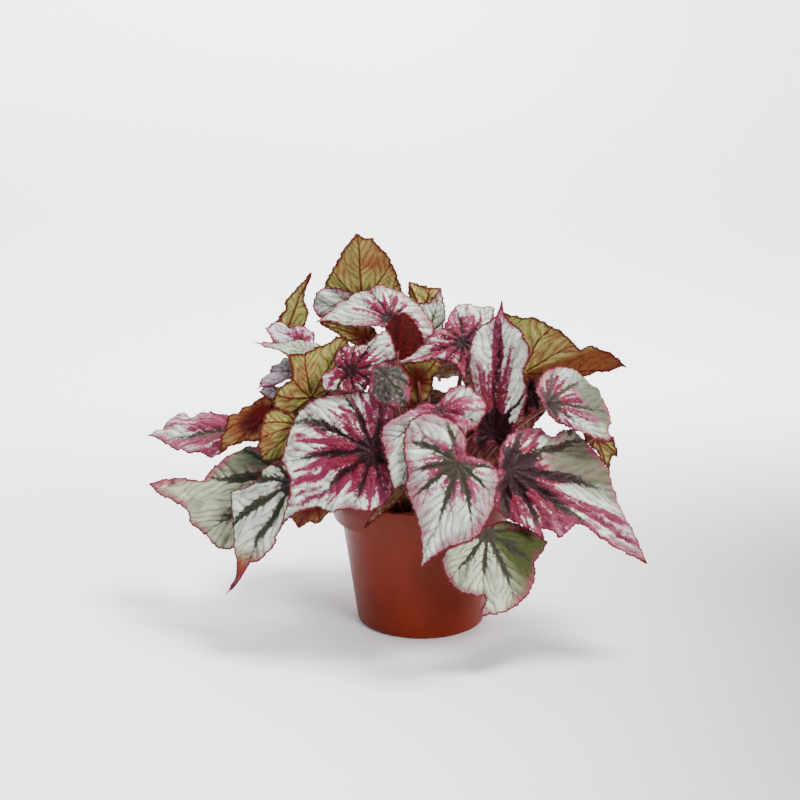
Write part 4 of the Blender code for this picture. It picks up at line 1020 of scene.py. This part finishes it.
def stalk_curve(leaf, steps, sunk):
    """The stalk's course from just under the blade to its foot; sunk is the blade's own height."""
    base, ahead, side, up, length = leaf_axes(leaf)
    foot = np.array((*leaf["foot"], SOIL_TOP + FOOT_RISE))
    span = np.linalg.norm(base - foot)
    joint = base + up * sunk
    inwards = unit(foot - base)
    leaving = unit(LEAVE_INWARDS * inwards - LEAVE_DOWN * up - LEAVE_BACK * ahead)
    under = joint + leaving * span * leaf.get("under", STALK_UNDER)
    over = foot + np.array((0.0, 0.0, span * leaf.get("rise", STALK_RISE)))
    t = np.linspace(0, 1, steps)[:, None]
    path = (1 - t)**3 * joint + 3 * (1 - t)**2 * t * under + 3 * (1 - t) * t**2 * over + t**3 * foot
    return np.concatenate([path, [[foot[0], foot[1], SOIL_TOP - HOLE_DEPTH + GAP]]]), up, ahead


def add_stalk(batch, leaf, rng, slot, sunk):
    """The stalk as a round tube that flares where it meets the blade; gives back its hairs."""
    path, up, ahead = stalk_curve(leaf, STALK_STEPS, sunk)
    thick = BIG_STALK if leaf["count"] > SMALL_LEAF_COUNT else SMALL_STALK
    steps = len(path)
    share = np.linspace(0, 1, steps)
    radius = thick * (STALK_TAPER + (1 - STALK_TAPER) * share)
    radius *= 1 + STALK_FLARE * np.exp(-share / FLARE_REACH)
    radius *= 1 + STALK_RIDGE * np.sin(share * 40 + rng.uniform(0, 6))
    radius[-2:] = np.minimum(radius[-2:], thick)
    along = np.gradient(path, axis=0)
    along /= np.linalg.norm(along, axis=1)[:, None]
    along[0] = -up
    along[1] = unit(along[1] - 0.5 * up)
    along[-1] = (0.0, 0.0, -1.0)
    walked = np.concatenate([[0], np.cumsum(np.linalg.norm(np.diff(path, axis=0), axis=1))])
    row = STALK_SIDES + 1
    turns = 2 * math.pi * np.arange(row) / STALK_SIDES
    ridges = 1 + STALK_RIDGE * np.cos(3 * turns)
    points, flat, bake, frames = [], [], [], []
    first = ahead
    for step in range(steps):
        first = unit(first - (first @ along[step]) * along[step])
        second = np.cross(along[step], first)
        frames.append((first, second))
        ring = np.outer(np.cos(turns), first) + np.outer(np.sin(turns), second)
        points.append(path[step] + radius[step] * ridges[:, None] * ring)
        flat.append(np.stack([thick * turns, np.full(row, walked[step])], axis=1))
        x = STALK_ROOM[0] + STALK_ROOM_SIZE[0] * walked[step] / walked[-1]
        y = STALK_ROOM[1] + STALK_ROOM_SIZE[1] * np.arange(row) / STALK_SIDES
        bake.append(np.stack([np.full(row, x), y], axis=1))
    points.append([path[0] + up * 0.05, path[-1]])
    flat.append([(0, 0), (0, walked[-1])])
    bake.append([(0.01, 0.9), (0.99, 0.9)])
    faces = []
    for step in range(steps - 1):
        for a in range(step * row, step * row + STALK_SIDES):
            faces += [(a, a + row, a + row + 1), (a, a + row + 1, a + 1)]
    top, bottom, last = steps * row, steps * row + 1, (steps - 1) * row
    for k in range(STALK_SIDES):
        faces += [(top, k, k + 1), (bottom, last + k + 1, last + k)]
    share_of = np.concatenate([np.repeat(share, row), [0.0, 1.0]])
    batch.add(np.concatenate(points), faces, np.concatenate(flat), np.concatenate(bake), slot,
              {"share": share_of})
    hairs = []
    for _ in range(int(walked[-2] * STALK_HAIRS)):
        at = rng.uniform(0.02, 0.93) * (steps - 2)
        low = int(at)
        centre = path[low] * (1 - (at - low)) + path[low + 1] * (at - low)
        turn = rng.uniform(0, 2 * math.pi)
        first, second = frames[low]
        outward = math.cos(turn) * first + math.sin(turn) * second
        lean = outward + rng.normal(0, 0.25, 3)
        root = centre + outward * radius[low] * 0.93
        hairs.append((root, lean, rng.uniform(*STALK_HAIR_LENGTH), STALK_HAIR_RADIUS))
    return hairs


def build_leaf(name, leaf, looks):
    """One fine leaf: upper skin, lower skin, cut edge, stalk and hairs."""
    look = {**PLAIN_LOOK, **LOOKS.get(name, {})}
    seed = sum(ord(letter) * (place + 7) for place, letter in enumerate(name))
    rng = np.random.default_rng(seed)
    base, ahead, side, up, length = leaf_axes(leaf)
    edge, around = cut_edge(rounded(leaf_margin(leaf), FINE_SPAN), rng)
    flat, triangles = fill(edge, rng)
    veins = vein_fields(flat, edge, look, rng)
    height = fine_height(leaf, flat, length, around, veins, rng)
    middle = base + np.outer(flat[:, 0], ahead) + np.outer(flat[:, 1], side) + np.outer(height, up)
    normals = sheet_normals(middle, triangles)
    vein_bulk = VEIN_BULK * np.exp(-(veins["lateral"] / 1.1) ** 2) * (1 - 0.7 * veins["share"])
    skin = SKIN / 2 * np.clip(0.35 + veins["edge"] / 3, 0, 1)
    upper = middle + normals * skin[:, None]
    lower = middle - normals * (skin + vein_bulk)[:, None]

    batch = Batch(FIELDS)
    batch.add(upper, triangles, flat, fit_map(flat, *UPPER_ROOM), 0, veins)
    batch.add(lower, triangles[:, ::-1], flat, fit_map(flat, *LOWER_ROOM), 1, veins)
    count = len(edge)
    index = np.arange(count)
    after = (index + 1) % count
    rim = np.concatenate([np.stack([index, count + index, count + after], axis=1),
                          np.stack([index, count + after, after], axis=1)])
    rim_points = np.concatenate([upper[:count], lower[:count]])
    rim_map = np.stack([np.tile(0.01 + 0.98 * index / count, 2),
                        np.repeat(RIM_ROWS, count)], axis=1)
    rim_veins = {key: np.concatenate([value[:count]] * 2) for key, value in veins.items()}
    rim_flat = np.concatenate([flat[:count]] * 2)
    batch.add(rim_points, rim, rim_flat, rim_map, 0, rim_veins, sharp=True)

    at_base = np.argmin(veins["share"])
    hairs = add_stalk(batch, leaf, rng, 2, (lower[at_base] - base) @ up + 0.2)
    outward = edge_outward(edge)
    for i in range(0, count, 2):
        lean = outward[i] + rng.normal(0, 0.3, 2)
        direction = lean[0] * ahead + lean[1] * side + rng.normal(0, 0.25) * up
        hairs.append((middle[i], direction, rng.uniform(*EDGE_HAIR_LENGTH), EDGE_HAIR_RADIUS))
    add_hairs(batch, hairs, 3, *HAIR_ROOM)
    piece = batch.build(name + "_fine", looks(name, look))
    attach(piece, "root")
    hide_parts(name)


class Look:
    """A Principled material put together from nodes."""

    def __init__(self, name):
        self.material = bpy.data.materials.new(name)
        self.material.use_nodes = True
        self.tree = self.material.node_tree
        self.shader = self.tree.nodes["Principled BSDF"]

    def node(self, kind, inputs=(), **settings):
        made = self.tree.nodes.new(kind)
        for key, value in settings.items():
            setattr(made, key, value)
        for key, value in dict(inputs).items():
            self.put(made.inputs[key], value)
        return made

    def put(self, socket, value):
        if isinstance(value, bpy.types.NodeSocket):
            self.tree.links.new(value, socket)
        else:
            socket.default_value = value

    def attribute(self, name):
        return self.node("ShaderNodeAttribute", attribute_name=name).outputs["Fac"]

    def leaf_place(self, scale=(1, 1, 1), shift=(0, 0, 0)):
        """Place in the leaf's own flat map, in mm."""
        spot = self.node("ShaderNodeUVMap", uv_map="Leaf").outputs["UV"]
        moved = self.node("ShaderNodeMapping", {"Vector": spot, "Scale": scale, "Location": shift})
        return moved.outputs["Vector"]

    def place(self, scale=(1, 1, 1)):
        """Place in space, in metres times scale."""
        spot = self.node("ShaderNodeTexCoord").outputs["Object"]
        return self.node("ShaderNodeMapping", {"Vector": spot, "Scale": scale}).outputs["Vector"]

    def math(self, operation, a, b=0.0):
        return self.node("ShaderNodeMath", {0: a, 1: b}, operation=operation).outputs[0]

    def times(self, a, b):
        return self.math("MULTIPLY", a, b)

    def add(self, total, *parts):
        for part in parts:
            total = self.math("ADD", total, part)
        return total

    def swing(self, noise, width):
        """A noise from 0 to 1 as one round 0, of this width."""
        return self.times(self.math("SUBTRACT", noise, 0.5), width)

    def step(self, value, low, high, to_low=0.0, to_high=1.0):
        """A soft step from to_low to to_high as value goes from low to high."""
        made = self.node("ShaderNodeMapRange", {"Value": value, "From Min": low, "From Max": high,
                                                "To Min": to_low, "To Max": to_high},
                         interpolation_type="SMOOTHSTEP")
        return made.outputs["Result"]

    def noise(self, vector, scale, detail=2.0, rough=0.5):
        made = self.node("ShaderNodeTexNoise", {"Vector": vector, "Scale": scale, "Detail": detail,
                                                "Roughness": rough})
        return made.outputs[0]

    def cells(self, vector, scale):
        made = self.node("ShaderNodeTexVoronoi", {"Vector": vector, "Scale": scale},
                         feature="DISTANCE_TO_EDGE")
        return made.outputs["Distance"]

    def vein_line(self, name, wide, soft):
        """1 on a main or side vein, from its signed distance and the sign of the side it is on."""
        gap = self.math("ABSOLUTE", self.attribute(name))
        there = self.step(self.attribute(name + "_near"), -0.1, 0.25)
        return self.times(self.step(gap, wide, wide + soft, 1.0, 0.0), there)

    def mix(self, factor, a, b):
        made = self.node("ShaderNodeMix", data_type="RGBA", clamp_factor=True)
        for socket, value in ((0, factor), (6, a), (7, b)):
            self.put(made.inputs[socket], value)
        return made.outputs[2]

    def paint(self, colour, *coats):
        """A colour with screen colours laid over it, each as far as its factor says."""
        for factor, shade in coats:
            colour = self.mix(factor, colour, shown(*shade))
        return colour

    def bump(self, height, strength, distance):
        made = self.node("ShaderNodeBump", {"Height": height, "Strength": strength,
                                            "Distance": distance})
        self.tree.links.new(made.outputs["Normal"], self.shader.inputs["Normal"])

    def finish(self, colour, roughness, **values):
        self.put(self.shader.inputs["Base Color"], colour)
        self.put(self.shader.inputs["Roughness"], roughness)
        for key, value in values.items():
            self.put(self.shader.inputs[key.replace("_", " ")], value)
        return self.material


def srgb(red, green, blue):
    """A colour given as 0 to 255 on a screen, as a material takes it."""
    linear = []
    for value in (red, green, blue):
        value = value / 255
        linear.append(value / 12.92 if value <= 0.04045 else ((value + 0.055) / 1.055) ** 2.4)
    return (*linear, 1.0)


def shown(red, green, blue):
    """A base colour that shows as this screen colour in the studio's strong light."""
    linear = np.array(srgb(red, green, blue)[:3])
    light = linear @ LIGHTNESS
    deep = np.maximum(light + SHOWN_DEPTH * (linear - light), 0.04 * light)
    return (*np.minimum(deep * (0.34 + light**2), 0.9), 1.0)


def upper_look(name, values):
    """Upper skin: silver with dark veins, a red zone between them and a speckled pink edge."""
    look = Look(name + "_upper")
    place = look.leaf_place(shift=(len(name) * 13.7, values["red"] * 91.0, 0.0))
    fine = look.noise(place, 1.1, 3.0, 0.65)
    speck = look.noise(place, 2.2, 2.0, 0.6)
    broad = look.noise(place, 0.10, 2.0)
    blotch = look.noise(place, 0.33, 2.0, 0.6)
    cells = look.cells(place, 0.55)
    edge, share, streak = (look.attribute(field) for field in ("edge", "share", "streak"))
    main = look.vein_line("main", 0.2, 0.8)
    side = look.vein_line("side", 0.15, 0.9)

    silver = values["silver"]
    # deep is the silver at 0.58 of its value, a darker tone laid as painted shade in the blade's
    # grooves and creases
    deep = tuple(0.58 * value for value in silver)
    veined = look.step(share, 0.95, 0.4, 0.3, 1.0)
    colour = look.paint(
        shown(*silver),
        (look.step(broad, 0.35, 0.7), tuple(min(value * 1.09, 236) for value in silver)),
        # darker radial streaks: partly the leaf's own grey-green, partly painted shade of its
        # pleats
        (look.step(streak, 0.42, 0.85, 0.0, 0.68), deep),
        # darker cell borders: the veinlets' colour and painted shade in the creases between puckers
        (look.step(cells, 0.0, 0.14, 0.20, 0.0), deep),
        (look.step(blotch, 0.50, 0.72, 0.0, 0.35), BLUSH),
        # painted shade: darker towards each side vein, in the grooves of the blade's relief
        (look.step(look.attribute("side_near"), -0.1, 1.0, 0.0, 0.42), deep),
        (look.times(side, look.times(veined, 0.5)), deep),
        (look.times(main, look.times(veined, 0.7)), VEIN_GREEN),
        (look.attribute("shade"), values["shade"]))

    ragged, patchy, fringe = look.swing(fine, 2.6), look.swing(blotch, 2.6), look.swing(speck, 1.6)
    red = look.add(look.attribute("red"), ragged, patchy, look.swing(streak, 1.2))
    ripe = look.add(look.attribute("ripe"), look.times(patchy, 0.25), look.swing(streak, 0.5))
    rose = look.paint(
        shown(*WINE),
        (look.step(ripe, 0.12, 0.55), CRIMSON),
        (look.step(ripe, 0.50, 1.10), values["rose"]),
        (look.step(fine, 0.52, 0.68, 0.0, 0.45), PALE_ROSE),
        (look.step(streak, 0.42, 0.15, 0.0, 0.7), DEEP_ROSE),
        (look.step(red, 0.95, 0.0, 0.0, 0.65), ROSE_FRINGE))
    colour = look.mix(look.step(look.add(red, fringe), -0.25, 0.25), colour, rose)

    dark = look.add(look.attribute("dark"), look.times(ragged, 0.6), look.times(fringe, 0.7),
                    look.times(patchy, 0.8), look.times(main, 0.15))
    grey = look.step(look.add(share, values["grey"] - 0.5), 0.25, 0.8)
    plum = look.paint(shown(*NEAR_BLACK), (grey, GREY_GREEN),
                      (look.step(streak, 0.55, 0.95, 0.0, 0.3), GREY_PLUM))
    colour = look.mix(look.step(dark, -0.25, 0.5), colour, plum)
    colour = look.paint(colour, (look.times(main, look.step(dark, 0.2, 0.6, 0.0, 0.25)), VEIN_RED))

    wide = look.step(look.noise(place, 0.055, 1.0), 0.35, 0.65, 0.35, 1.5)
    border = look.add(look.math("DIVIDE", edge, look.times(wide, values["pink"])),
                      look.swing(speck, 4.2), look.swing(streak, 1.6))
    pink = look.paint(shown(*EDGE_ROSE), (look.step(fine, 0.4, 0.62), EDGE_PINK))
    colour = look.mix(look.step(border, 0.85, 0.35, 0.0, 0.9), colour, pink)
    rim = look.add(edge, look.swing(fine, 1.6))
    colour = look.paint(colour, (look.step(rim, 1.5, 0.6, 0.0, 0.9), RIM_RED))

    look.bump(look.add(look.times(look.step(cells, 0.0, 0.35), 0.8), look.times(fine, 0.4),
                       look.times(side, -0.5), look.times(main, -0.6)), 0.5, 0.0006)
    return look.finish(colour, look.step(broad, 0.2, 0.8, 0.32, 0.46), Specular_IOR_Level=0.09)


def lower_look(name, values):
    """Lower skin: olive with raised red veins, redder near the base and at the edge."""
    look = Look(name + "_lower")
    place = look.leaf_place(shift=(len(name) * 9.1, values["dark"] * 57.0, 5.0))
    fine = look.noise(place, 0.8, 3.0, 0.6)
    broad = look.noise(place, 0.07, 2.0)
    cells = look.cells(place, 0.42)
    side_near = look.attribute("side_near")
    main = look.vein_line("main", 0.4, 0.5)
    side = look.vein_line("side", 0.12, 0.35)
    stain = look.add(look.attribute("share"), look.swing(broad, 0.9))
    reach = values["russet"]
    border = look.add(look.attribute("edge"), look.swing(fine, 3.5))
    colour = look.paint(
        shown(*OLIVE),
        (look.step(broad, 0.3, 0.7), TAN),
        # painted highlight on the puffs between side veins, then painted shade along the side veins
        (look.step(side_near, -0.1, -1.0, 0.0, 0.4), OLIVE_PAINTED_HIGHLIGHT),
        (look.step(side_near, 0.1, 0.9, 0.0, 0.25), OLIVE_PAINTED_SHADE),
        (look.step(broad, 0.50, 0.75, 0.0, 0.6), COPPER),
        (look.step(cells, 0.0, 0.14, 0.35, 0.0), BROWN),
        (look.attribute("shade"), values["shade"]),
        (look.step(stain, reach, reach - 0.45, 0.0, 0.9), RUSSET),
        (look.step(stain, reach - 0.3, reach - 0.8), MAROON),
        (look.times(side, 0.5), SIDE_VEIN_RED),
        (look.times(main, 0.9), MAIN_VEIN_RED),
        (look.step(border, 3.0, 0.6, 0.0, 0.95), LOWER_RIM_RED))
    relief = look.add(look.step(cells, 0.0, 0.3, 0.6, 0.0), look.times(side, 0.9),
                      look.times(fine, 0.3))
    look.bump(relief, 0.8, 0.0008)
    return look.finish(colour, look.step(broad, 0.2, 0.8, 0.40, 0.56), Specular_IOR_Level=0.12)


def stalk_look():
    look = Look("stalk")
    streak = look.noise(look.leaf_place(scale=(1.0, 0.12, 1.0)), 1.6, 3.0, 0.6)
    spots = look.noise(look.leaf_place(), 0.7, 2.0)
    colour = look.paint(
        shown(122, 44, 42),
        (look.step(streak, 0.35, 0.65), (150, 84, 66)),
        (look.step(look.attribute("share"), 0.9, 0.3, 0.0, 0.55), (124, 34, 42)),
        (look.step(spots, 0.55, 0.7, 0.0, 0.6), (190, 140, 104)))
    look.bump(streak, 0.4, 0.0004)
    return look.finish(colour, look.step(streak, 0.3, 0.7, 0.42, 0.55))


def hair_look():
    look = Look("leaf_hair")
    tint = look.noise(look.place((900, 900, 900)), 1.0, 1.0)
    colour = look.paint(shown(140, 56, 70), (look.step(tint, 0.35, 0.65), (176, 112, 112)))
    return look.finish(colour, look.step(tint, 0.3, 0.7, 0.5, 0.7))


def pot_look():
    """Moulded terracotta-coloured plastic with faint scuffs and specks of soil."""
    look = Look("pot_plastic")
    place = look.place((1000, 1000, 1000))
    mottle = look.noise(place, 0.03, 3.0)
    grain = look.noise(place, 2.2, 2.0)
    lines = look.noise(look.place((60, 60, 2600)), 1.0, 2.0)
    scuff = look.noise(look.place((500, 500, 90)), 1.0, 4.0, 0.7)
    crumbs = look.noise(place, 0.34, 2.0, 0.6)
    colour = look.paint(
        shown(140, 60, 43),
        (look.step(mottle, 0.3, 0.7), (128, 52, 38)),
        (look.step(scuff, 0.58, 0.72, 0.0, 0.35), (176, 96, 70)),
        (look.step(crumbs, 0.73, 0.76, 0.0, 0.85), (64, 34, 24)))
    look.bump(look.add(look.times(lines, 0.6), look.times(grain, 0.25)), 0.25, 0.0003)
    return look.finish(colour, look.step(scuff, 0.4, 0.75, 0.36, 0.52), Specular_IOR_Level=0.14)


def soil_look():
    look = Look("potting_soil")
    place = look.place((1000, 1000, 1000))
    clods = look.noise(place, 0.35, 5.0, 0.65)
    fine = look.noise(place, 1.6, 4.0, 0.7)
    fibre = look.noise(look.place((400, 2200, 900)), 1.0, 3.0, 0.6)
    colour = look.paint(
        shown(38, 27, 21),
        (look.step(clods, 0.35, 0.65), (74, 54, 41)),
        (look.step(fibre, 0.62, 0.72, 0.0, 0.7), (116, 84, 58)))
    look.bump(look.add(clods, look.times(fine, 0.5)), 1.0, 0.002)
    return look.finish(colour, look.step(fine, 0.3, 0.7, 0.85, 1.0))


def crown_look():
    look = Look("rootstock")
    bark = look.noise(look.place((1000, 1000, 400)), 0.6, 5.0, 0.65)
    colour = look.paint(shown(78, 46, 34), (look.step(bark, 0.35, 0.65), (142, 92, 62)))
    look.bump(bark, 0.9, 0.0012)
    return look.finish(colour, look.step(bark, 0.3, 0.7, 0.7, 0.9))


def lathe(name, profile, sides, material):
    """A round body from its profile (radius, height); zero radii close it."""
    points, rows, faces = [], [], []
    for radius, height in profile:
        count = sides if radius else 1
        rows.append([len(points) + i % count for i in range(sides)])
        for i in range(count):
            turn = 2 * math.pi * i / sides
            x, y = radius * math.cos(turn), radius * math.sin(turn)
            points.append((x * MM, y * MM, height * MM))
    for low, high in zip(rows, rows[1:]):
        for i in range(sides):
            j = (i + 1) % sides
            faces.append(list(dict.fromkeys((low[i], low[j], high[j], high[i]))))
    return link_mesh(name, points, faces, material)


def arc(centre, radius, start, end, steps):
    """Profile points round a corner, by degrees from the radius axis."""
    turns = np.radians(np.linspace(start, end, steps))
    return [(centre[0] + radius * math.cos(t), centre[1] + radius * math.sin(t)) for t in turns]


def notch_cutter(index):
    """An arched bar that cuts one drainage notch in the pot's bottom edge."""
    turn = 2 * math.pi * index / DRAIN_NOTCHES - math.pi / 2
    half = DRAIN_NOTCH_WIDTH / 2
    arch = [(-half, -1.0)]
    for x in np.linspace(-half, half, NOTCH_STEPS + 1):
        arch.append((x, DRAIN_NOTCH_HEIGHT * max(1 - (x / half) ** 2, 0.0) ** 0.5))
    arch.append((half, -1.0))
    points = []
    for radius in (POT_BASE_RADIUS - DRAIN_NOTCH_DEPTH, POT_NECK_RADIUS):
        for across, height in arch:
            points.append(((radius * math.cos(turn) - across * math.sin(turn)) * MM,
                           (radius * math.sin(turn) + across * math.cos(turn)) * MM, height * MM))
    count = len(arch)
    faces = [list(range(count))[::-1], list(range(count, 2 * count))]
    for i in range(count):
        j = (i + 1) % count
        faces.append([i, j, count + j, count + i])
    return link_mesh("notch", points, faces)


def build_pot(material):
    """The pot at full roundness, with the CAD profile's corners eased."""
    top = POT_HEIGHT
    band = top - POT_BAND_HEIGHT
    step = band - POT_STEP_HEIGHT
    inner = POT_RIM_RADIUS - 2 * POT_WALL
    neck = POT_NECK_RADIUS - POT_WALL
    slope = (POT_NECK_RADIUS - POT_BASE_RADIUS) / (step - POT_BASE_ROUND)
    profile = [(0, 0), (20, 0)]
    profile += arc((POT_BASE_RADIUS - POT_BASE_ROUND, POT_BASE_ROUND), POT_BASE_ROUND, -90, 0, 8)
    for height in np.linspace(POT_BASE_ROUND, step, 12)[1:-1]:
        profile.append((POT_BASE_RADIUS + slope * (height - POT_BASE_ROUND), height))
    profile += [(POT_NECK_RADIUS - 0.1, step - 0.3), (POT_NECK_RADIUS + 0.5, step + 0.2)]
    profile += arc((POT_BAND_RADIUS - POT_EDGE, band + POT_EDGE), POT_EDGE, -75, 0, 6)
    profile += [(POT_BAND_RADIUS + 0.9, band + 10.0)]
    profile += arc((POT_RIM_RADIUS - POT_EDGE, top - POT_EDGE), POT_EDGE, 0, 90, 6)
    profile += arc((inner + POT_EDGE, top - POT_EDGE), POT_EDGE, 90, 180, 6)
    profile += [(neck + 0.2, band + 0.4), (neck - 0.2, band - 0.8)]
    profile += [(POT_BASE_RADIUS - POT_WALL, POT_FLOOR), (0, POT_FLOOR)]
    pot = lathe("pot_surface", profile, POT_SIDES, material)
    cutters = [notch_cutter(i) for i in range(DRAIN_NOTCHES)]
    bpy.context.view_layer.objects.active = pot
    for cutter in cutters:
        cut = pot.modifiers.new("cut", "BOOLEAN")
        cut.operation = "DIFFERENCE"
        cut.solver = "EXACT"
        cut.object = cutter
        bpy.ops.object.modifier_apply(modifier=cut.name)
        bpy.data.objects.remove(cutter)
    pot.data.shade_smooth()
    pot.data.set_sharp_from_angle(angle=math.radians(SHARP_FROM))
    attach(pot, "root")
    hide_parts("pot")


def lump():
    """Corners and faces of a twenty-sided ball of radius 1."""
    golden = (1 + math.sqrt(5)) / 2
    corners = []
    for a in (-1, 1):
        for b in (-golden, golden):
            corners += [(0, a, b), (a, b, 0), (b, 0, a)]
    corners = np.array(corners, float)
    corners /= np.linalg.norm(corners[0])
    near = np.linalg.norm(corners[:, None] - corners[None], axis=2) < 1.1
    faces = []
    for i, j, k in itertools.combinations(range(len(corners)), 3):
        if near[i, j] and near[j, k] and near[i, k]:
            out = np.dot(np.cross(corners[j] - corners[i], corners[k] - corners[i]), corners[i])
            faces.append((i, j, k) if out > 0 else (i, k, j))
    return corners, faces


def build_crumbs(material):
    """Loose lumps of soil on top of the soil."""
    rng = np.random.default_rng(CRUMB_SEED)
    corners, faces = lump()
    points, every = [], []
    for _ in range(CRUMBS):
        radius = CRUMB_REACH * math.sqrt(rng.uniform(0, 1))
        turn = rng.uniform(0, 2 * math.pi)
        size = rng.uniform(0.5, 1.9)
        drop = SOIL_EDGE_DROP * (1.0 if radius > 50 else 0.3)
        height = SOIL_TOP - drop + size * 0.25
        spot = np.array((radius * math.cos(turn), radius * math.sin(turn), height))
        squash = rng.uniform(0.6, 1.2, 3)
        first = len(points)
        points += list((spot + corners * squash * size * rng.uniform(0.8, 1.2, (12, 1))) * MM)
        every += [(first + a, first + b, first + c) for a, b, c in faces]
    crumbs = link_mesh("soil_crumbs", points, every, material)
    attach(crumbs, "root")


def stage():
    """A pale floor with painted shade on its right, sweeping up to a backdrop glowing less to the
    right.
    """
    look = Look("backdrop")
    place = look.node("ShaderNodeSeparateXYZ", {0: look.place()})
    across, depth, height = (place.outputs[axis] for axis in "XYZ")
    floor = look.mix(look.noise(look.place(), 1.2, 2.0), *(srgb(*tone) for tone in FLOOR_TONES))
    # painted shade: the floor's colour darkens towards the right, most near the front
    right = look.times(look.step(across, -0.15, 0.4), look.step(depth, 0.7, 0.0))
    floor = look.mix(right, floor, srgb(*FLOOR_PAINTED_SHADE))
    colour = look.mix(look.step(height, 0.0, 0.2), floor, srgb(*BACKDROP_TONE))
    look.finish(colour, 0.85, Specular_IOR_Level=0.2)
    glow = look.add(look.step(depth, 0.1, 0.6, 0.0, 1.2), look.step(height, 0.0, 0.33, 0.0, 1.2))
    glow = look.times(glow, look.step(across, -0.1, 0.7, 1.1, 0.4))
    look.put(look.shader.inputs["Emission Color"], BACKDROP_GLOW)
    look.put(look.shader.inputs["Emission Strength"], glow)
    profile = [(FLOOR_FRONT, 0.0), (SWEEP_FROM, 0.0)]
    for turn in np.radians(np.linspace(0, 90, SWEEP_STEPS + 1)[1:]):
        out, rise = SWEEP_RADIUS * math.sin(turn), SWEEP_RADIUS * (1 - math.cos(turn))
        profile.append((SWEEP_FROM + out, rise))
    profile.append((SWEEP_FROM + SWEEP_RADIUS, BACKDROP_TOP))
    points = [(x, y, z) for x in (-BACKDROP_HALF, BACKDROP_HALF) for y, z in profile]
    count = len(profile)
    faces = [(i, count + i, count + i + 1, i + 1) for i in range(count - 1)]
    backdrop = link_mesh("backdrop", points, faces, look.material)
    backdrop.data.shade_smooth()


def area_light(name, place, target, size, watts, colour):
    """A round lamp at place that points at target."""
    data = bpy.data.lights.new(name, "AREA")
    data.shape = "DISK"
    data.size = size
    data.energy = watts
    data.color = colour
    lamp = bpy.data.objects.new(name, data)
    lamp.location = place
    lamp.rotation_euler = (Vector(target) - Vector(place)).to_track_quat("-Z", "Y").to_euler()
    bpy.context.scene.collection.objects.link(lamp)


def studio():
    """Soft lamps, an even pale surround and the photograph's camera."""
    for lamp in LAMPS:
        area_light(*lamp)
    world = bpy.data.worlds.new("studio")
    world.use_nodes = True
    surround = world.node_tree.nodes["Background"]
    surround.inputs[0].default_value = SURROUND_COLOUR
    surround.inputs[1].default_value = SURROUND_STRENGTH
    bpy.context.scene.world = world
    lens = bpy.data.cameras.new("camera")
    lens.lens = LENS
    lens.sensor_width = SENSOR
    camera = bpy.data.objects.new("camera", lens)
    camera.location = [value * MM for value in PHOTO_FROM]
    camera.rotation_euler = (math.pi / 2 - PHOTO_TILT, 0, 0)
    bpy.context.scene.collection.objects.link(camera)
    bpy.context.scene.camera = camera


def main():
    soil = soil_look()
    build_pot(pot_look())
    for node, material in (("soil", soil), ("crown", crown_look())):
        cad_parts[node].data.materials.clear()
        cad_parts[node].data.materials.append(material)
    build_crumbs(soil)
    stalk, hair = stalk_look(), hair_look()

    def looks(name, values):
        return [upper_look(name, values), lower_look(name, values), stalk, hair]

    for name, leaf in {**SEEN, **HIDDEN}.items():
        build_leaf(name, leaf, looks)
    stage()
    studio()


main()
